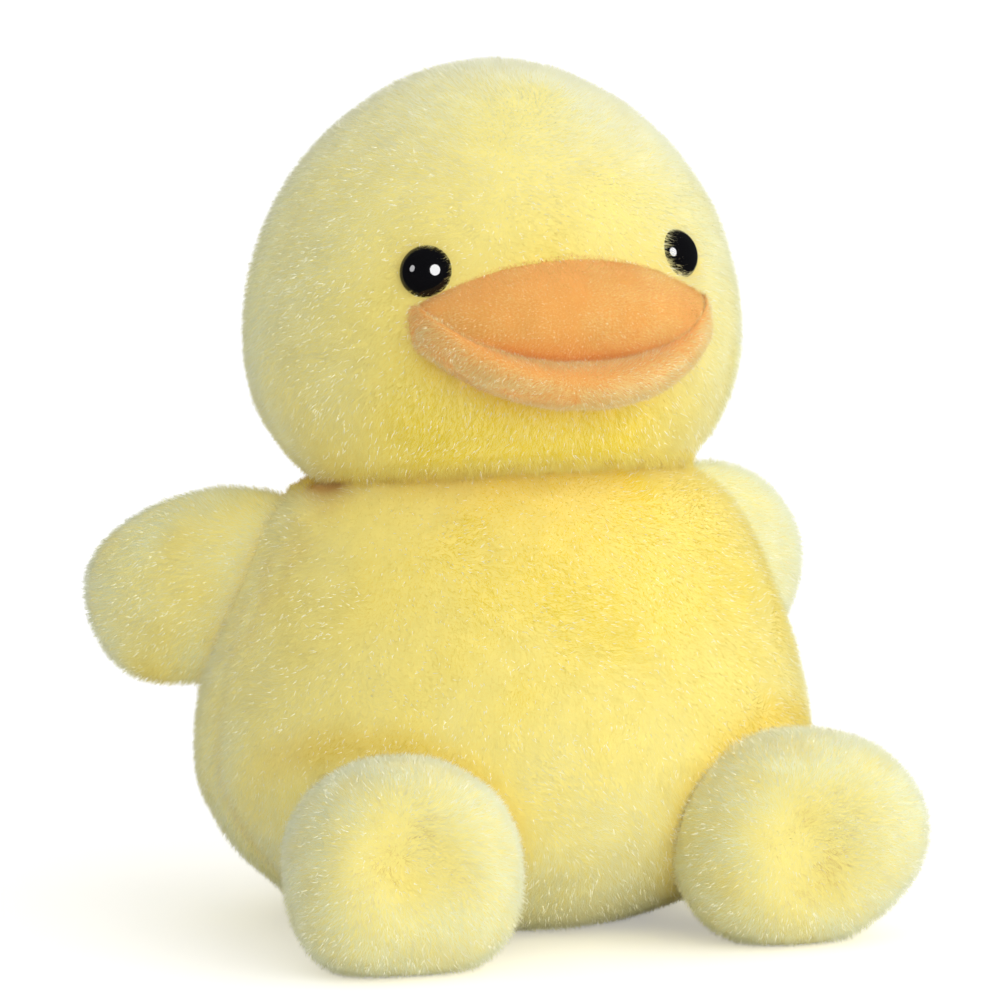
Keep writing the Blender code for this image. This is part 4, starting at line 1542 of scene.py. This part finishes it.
def rest_under_bill(points, gap=0.08 * MM):
    """Press the pad down where the dome lies on it: the dome's sections are ellipses."""
    place, a, b, _ = ring_profile(BILL_RINGS, 400)
    out = span_share(place) * 2 - 1
    across = points[..., 0] / BILL_HALF[2]
    share = np.interp(across, out, a / a.max(), left=0, right=0)
    wide = np.interp(across, out, b / b.max(), left=0, right=0)
    deep = np.clip((points[..., 1] - BILL_MIDDLE[1]) / (BILL_HALF[1] * wide + 1e-6), -1, 1)
    lift = BILL_HALF[0] * share * np.sqrt(1 - deep**2)
    underside = BILL_MIDDLE[2] - BILL_DROP * across**2 - lift - gap
    over = (np.abs(deep) < 1) & (share > 0) & (points[..., 2] > underside)
    middle = LIP_LEVEL + lip_rise(points[..., 0])
    pressed = np.maximum(underside, middle - 0.3 * LIP_THICKNESS)
    moved = points.copy()
    moved[..., 2] = np.where(over, pressed, points[..., 2])
    return moved


lip = surface_piece("lower_bill_pad", rest_on_head(rest_under_bill(shape_lip())))
lip.data.materials.append(orange_ground)
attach(lip, "head")
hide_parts("lower_bill")


# %% Lay the short pile of the bill
BILL_DENSITY = 48.0
BILL_BLADE = 0.07 * MM
RIB = 0.62


def ribs(roots):
    """The knit's ribs across the bill, from -1 to 1: one to 0.62 mm."""
    return np.sin(roots[:, 0] / MM * 2 * np.pi / RIB)


def bare_bill(points):
    """No pile where the bill rests on the head."""
    return head_distance(points) < 0.2 * MM


def short_length(roots):
    """The dome's pile, longer on a rib and shorter beside it."""
    return 0.62 * MM * (1 + 0.22 * ribs(roots) + 0.12 * waves(roots, 5 * MM, 101))


def fuzzy_length(roots):
    """The pad's pile, longest along its outer ridge."""
    ridge = np.clip((-30 * MM - roots[:, 1]) / (8 * MM), 0, 1)
    return (0.85 + 0.35 * ridge) * MM * (1 + 0.2 * waves(roots, 4 * MM, 102))


def comb_bill(roots):
    """Brushed outwards and a little down, with swirls."""
    flow = unit((roots - BILL_MIDDLE) * [1.0, 0.2, 0.3]) + np.array([0, -0.2, -0.4])
    return flow + 0.7 * sway(roots, (8, 8, 8), (103, 104, 105))


for piece, name, length, material, slot in (
    (upper_bill, "upper_bill_pile", short_length, orange_pile, "orange_velour"),
    (lip, "lower_bill_pile", fuzzy_length, lip_pile, "lip_velour"),
):
    roots, grown = grow(
        piece, bare_bill, comb_bill, length, width=BILL_BLADE, density=BILL_DENSITY,
        tuft=0.5 * MM, pull=0.35,
    )
    tone_and_shade = np.clip(0.4 + 0.2 * ribs(roots) + 0.35 * waves(roots, 6 * MM, 107), 0, 1)
    # Painted shade where the bill meets the face.
    crease_shade = 0.6 * fade(head_distance(roots), 0.8 * MM)
    pile_pieces(name, grown, tone_and_shade, crease_shade, material, "head", BILL_MIDDLE)

# %% [markdown]
# ## Eyes
#
# Each eye is a moulded button: a glossy black dome with a thin rim, pushed through the skin on
# its shank. It is a profile carried round a circle, set into the head's surface and turned to
# look out to the side and a little up.


# %% Turn the eyes
EYE_BULGE = 2.7 * MM
EYE_RIM = 0.6 * MM
EYE_LOOK = math.radians(30.0)
EYE_LOOK_UP = 0.34
EYE_SUNK = 1.1 * MM
RIM_RADII = (1.0, 0.985, 0.9, 0.6, 0.3, 0.0)
RIM_HEIGHTS = (0.4, 0.1, 0.0, 0.0, 0.0, 0.0)


def eye_surface(radius_of, along=34, around=72):
    """A quarter ellipse over a short rim, closed behind, carried round the axis."""
    turn = np.linspace(0, np.pi / 2, along)
    radius = radius_of * np.append(np.sin(turn), RIM_RADII)
    height = np.append(EYE_RIM + EYE_BULGE * np.cos(turn), EYE_RIM * np.array(RIM_HEIGHTS))
    angle = np.linspace(0, 2 * np.pi, around, endpoint=False)
    x = radius[:, None] * np.cos(angle)
    y = radius[:, None] * np.sin(angle)
    return np.stack([x, y, np.repeat(height[:, None], around, 1)], axis=-1)[::-1]


eye_black, tree, shader = new_material("eye_black")
shine = {"Value": object_noise(tree, 900.0), "To Min": 0.03, "To Max": 0.07}
finish = {
    "Base Color": (0.004, 0.004, 0.005, 1.0),
    "Roughness": add_node(tree, "MapRange", shine).outputs["Result"],
    "Specular IOR Level": 0.3,
}
set_inputs(tree, shader, finish)
for name, side, out, level, radius in (
    ("right_eye", -1, -19.7 * MM, 96.6 * MM, 3.9 * MM),
    ("left_eye", 1, 18.9 * MM, 97.7 * MM, 3.7 * MM),
):
    half_x, half_y = head_half_widths(level)
    face = HEAD_MIDDLE[1] - half_y * math.sqrt(1 - (out / half_x) ** 2)
    look = unit(np.array([side * math.sin(EYE_LOOK), -math.cos(EYE_LOOK), EYE_LOOK_UP]))
    centre = np.array([out, face, level]) - look * EYE_SUNK
    points = eye_surface(radius) @ frame_of(look, np.array([1.0, 0, 0])).T + centre
    eye = surface_piece(name + "_dome", points)
    eye.data.materials.append(eye_black)
    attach(eye, "head")
    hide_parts(name)
    print("  dome, mm:", (points.min((0, 1)) / MM).round(1), (points.max((0, 1)) / MM).round(1))

# %% [markdown]
# ## What stays of the CAD model
#
# The washers behind the eyes keep their CAD shape. They are moulded plastic, slightly satin.

# %% Dress the washers
washer_white, tree, shader = new_material("washer_white")
noise = object_noise(tree, 1200.0)
tint = ramp(tree, noise, (0.3, 0.7), [(205, 205, 200), (225, 225, 220)])
set_inputs(tree, shader, {"Base Color": tint, "Roughness": 0.4})
for name in ("right_eye_washer", "left_eye_washer"):
    for material_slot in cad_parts[name].material_slots:
        material_slot.material = washer_white
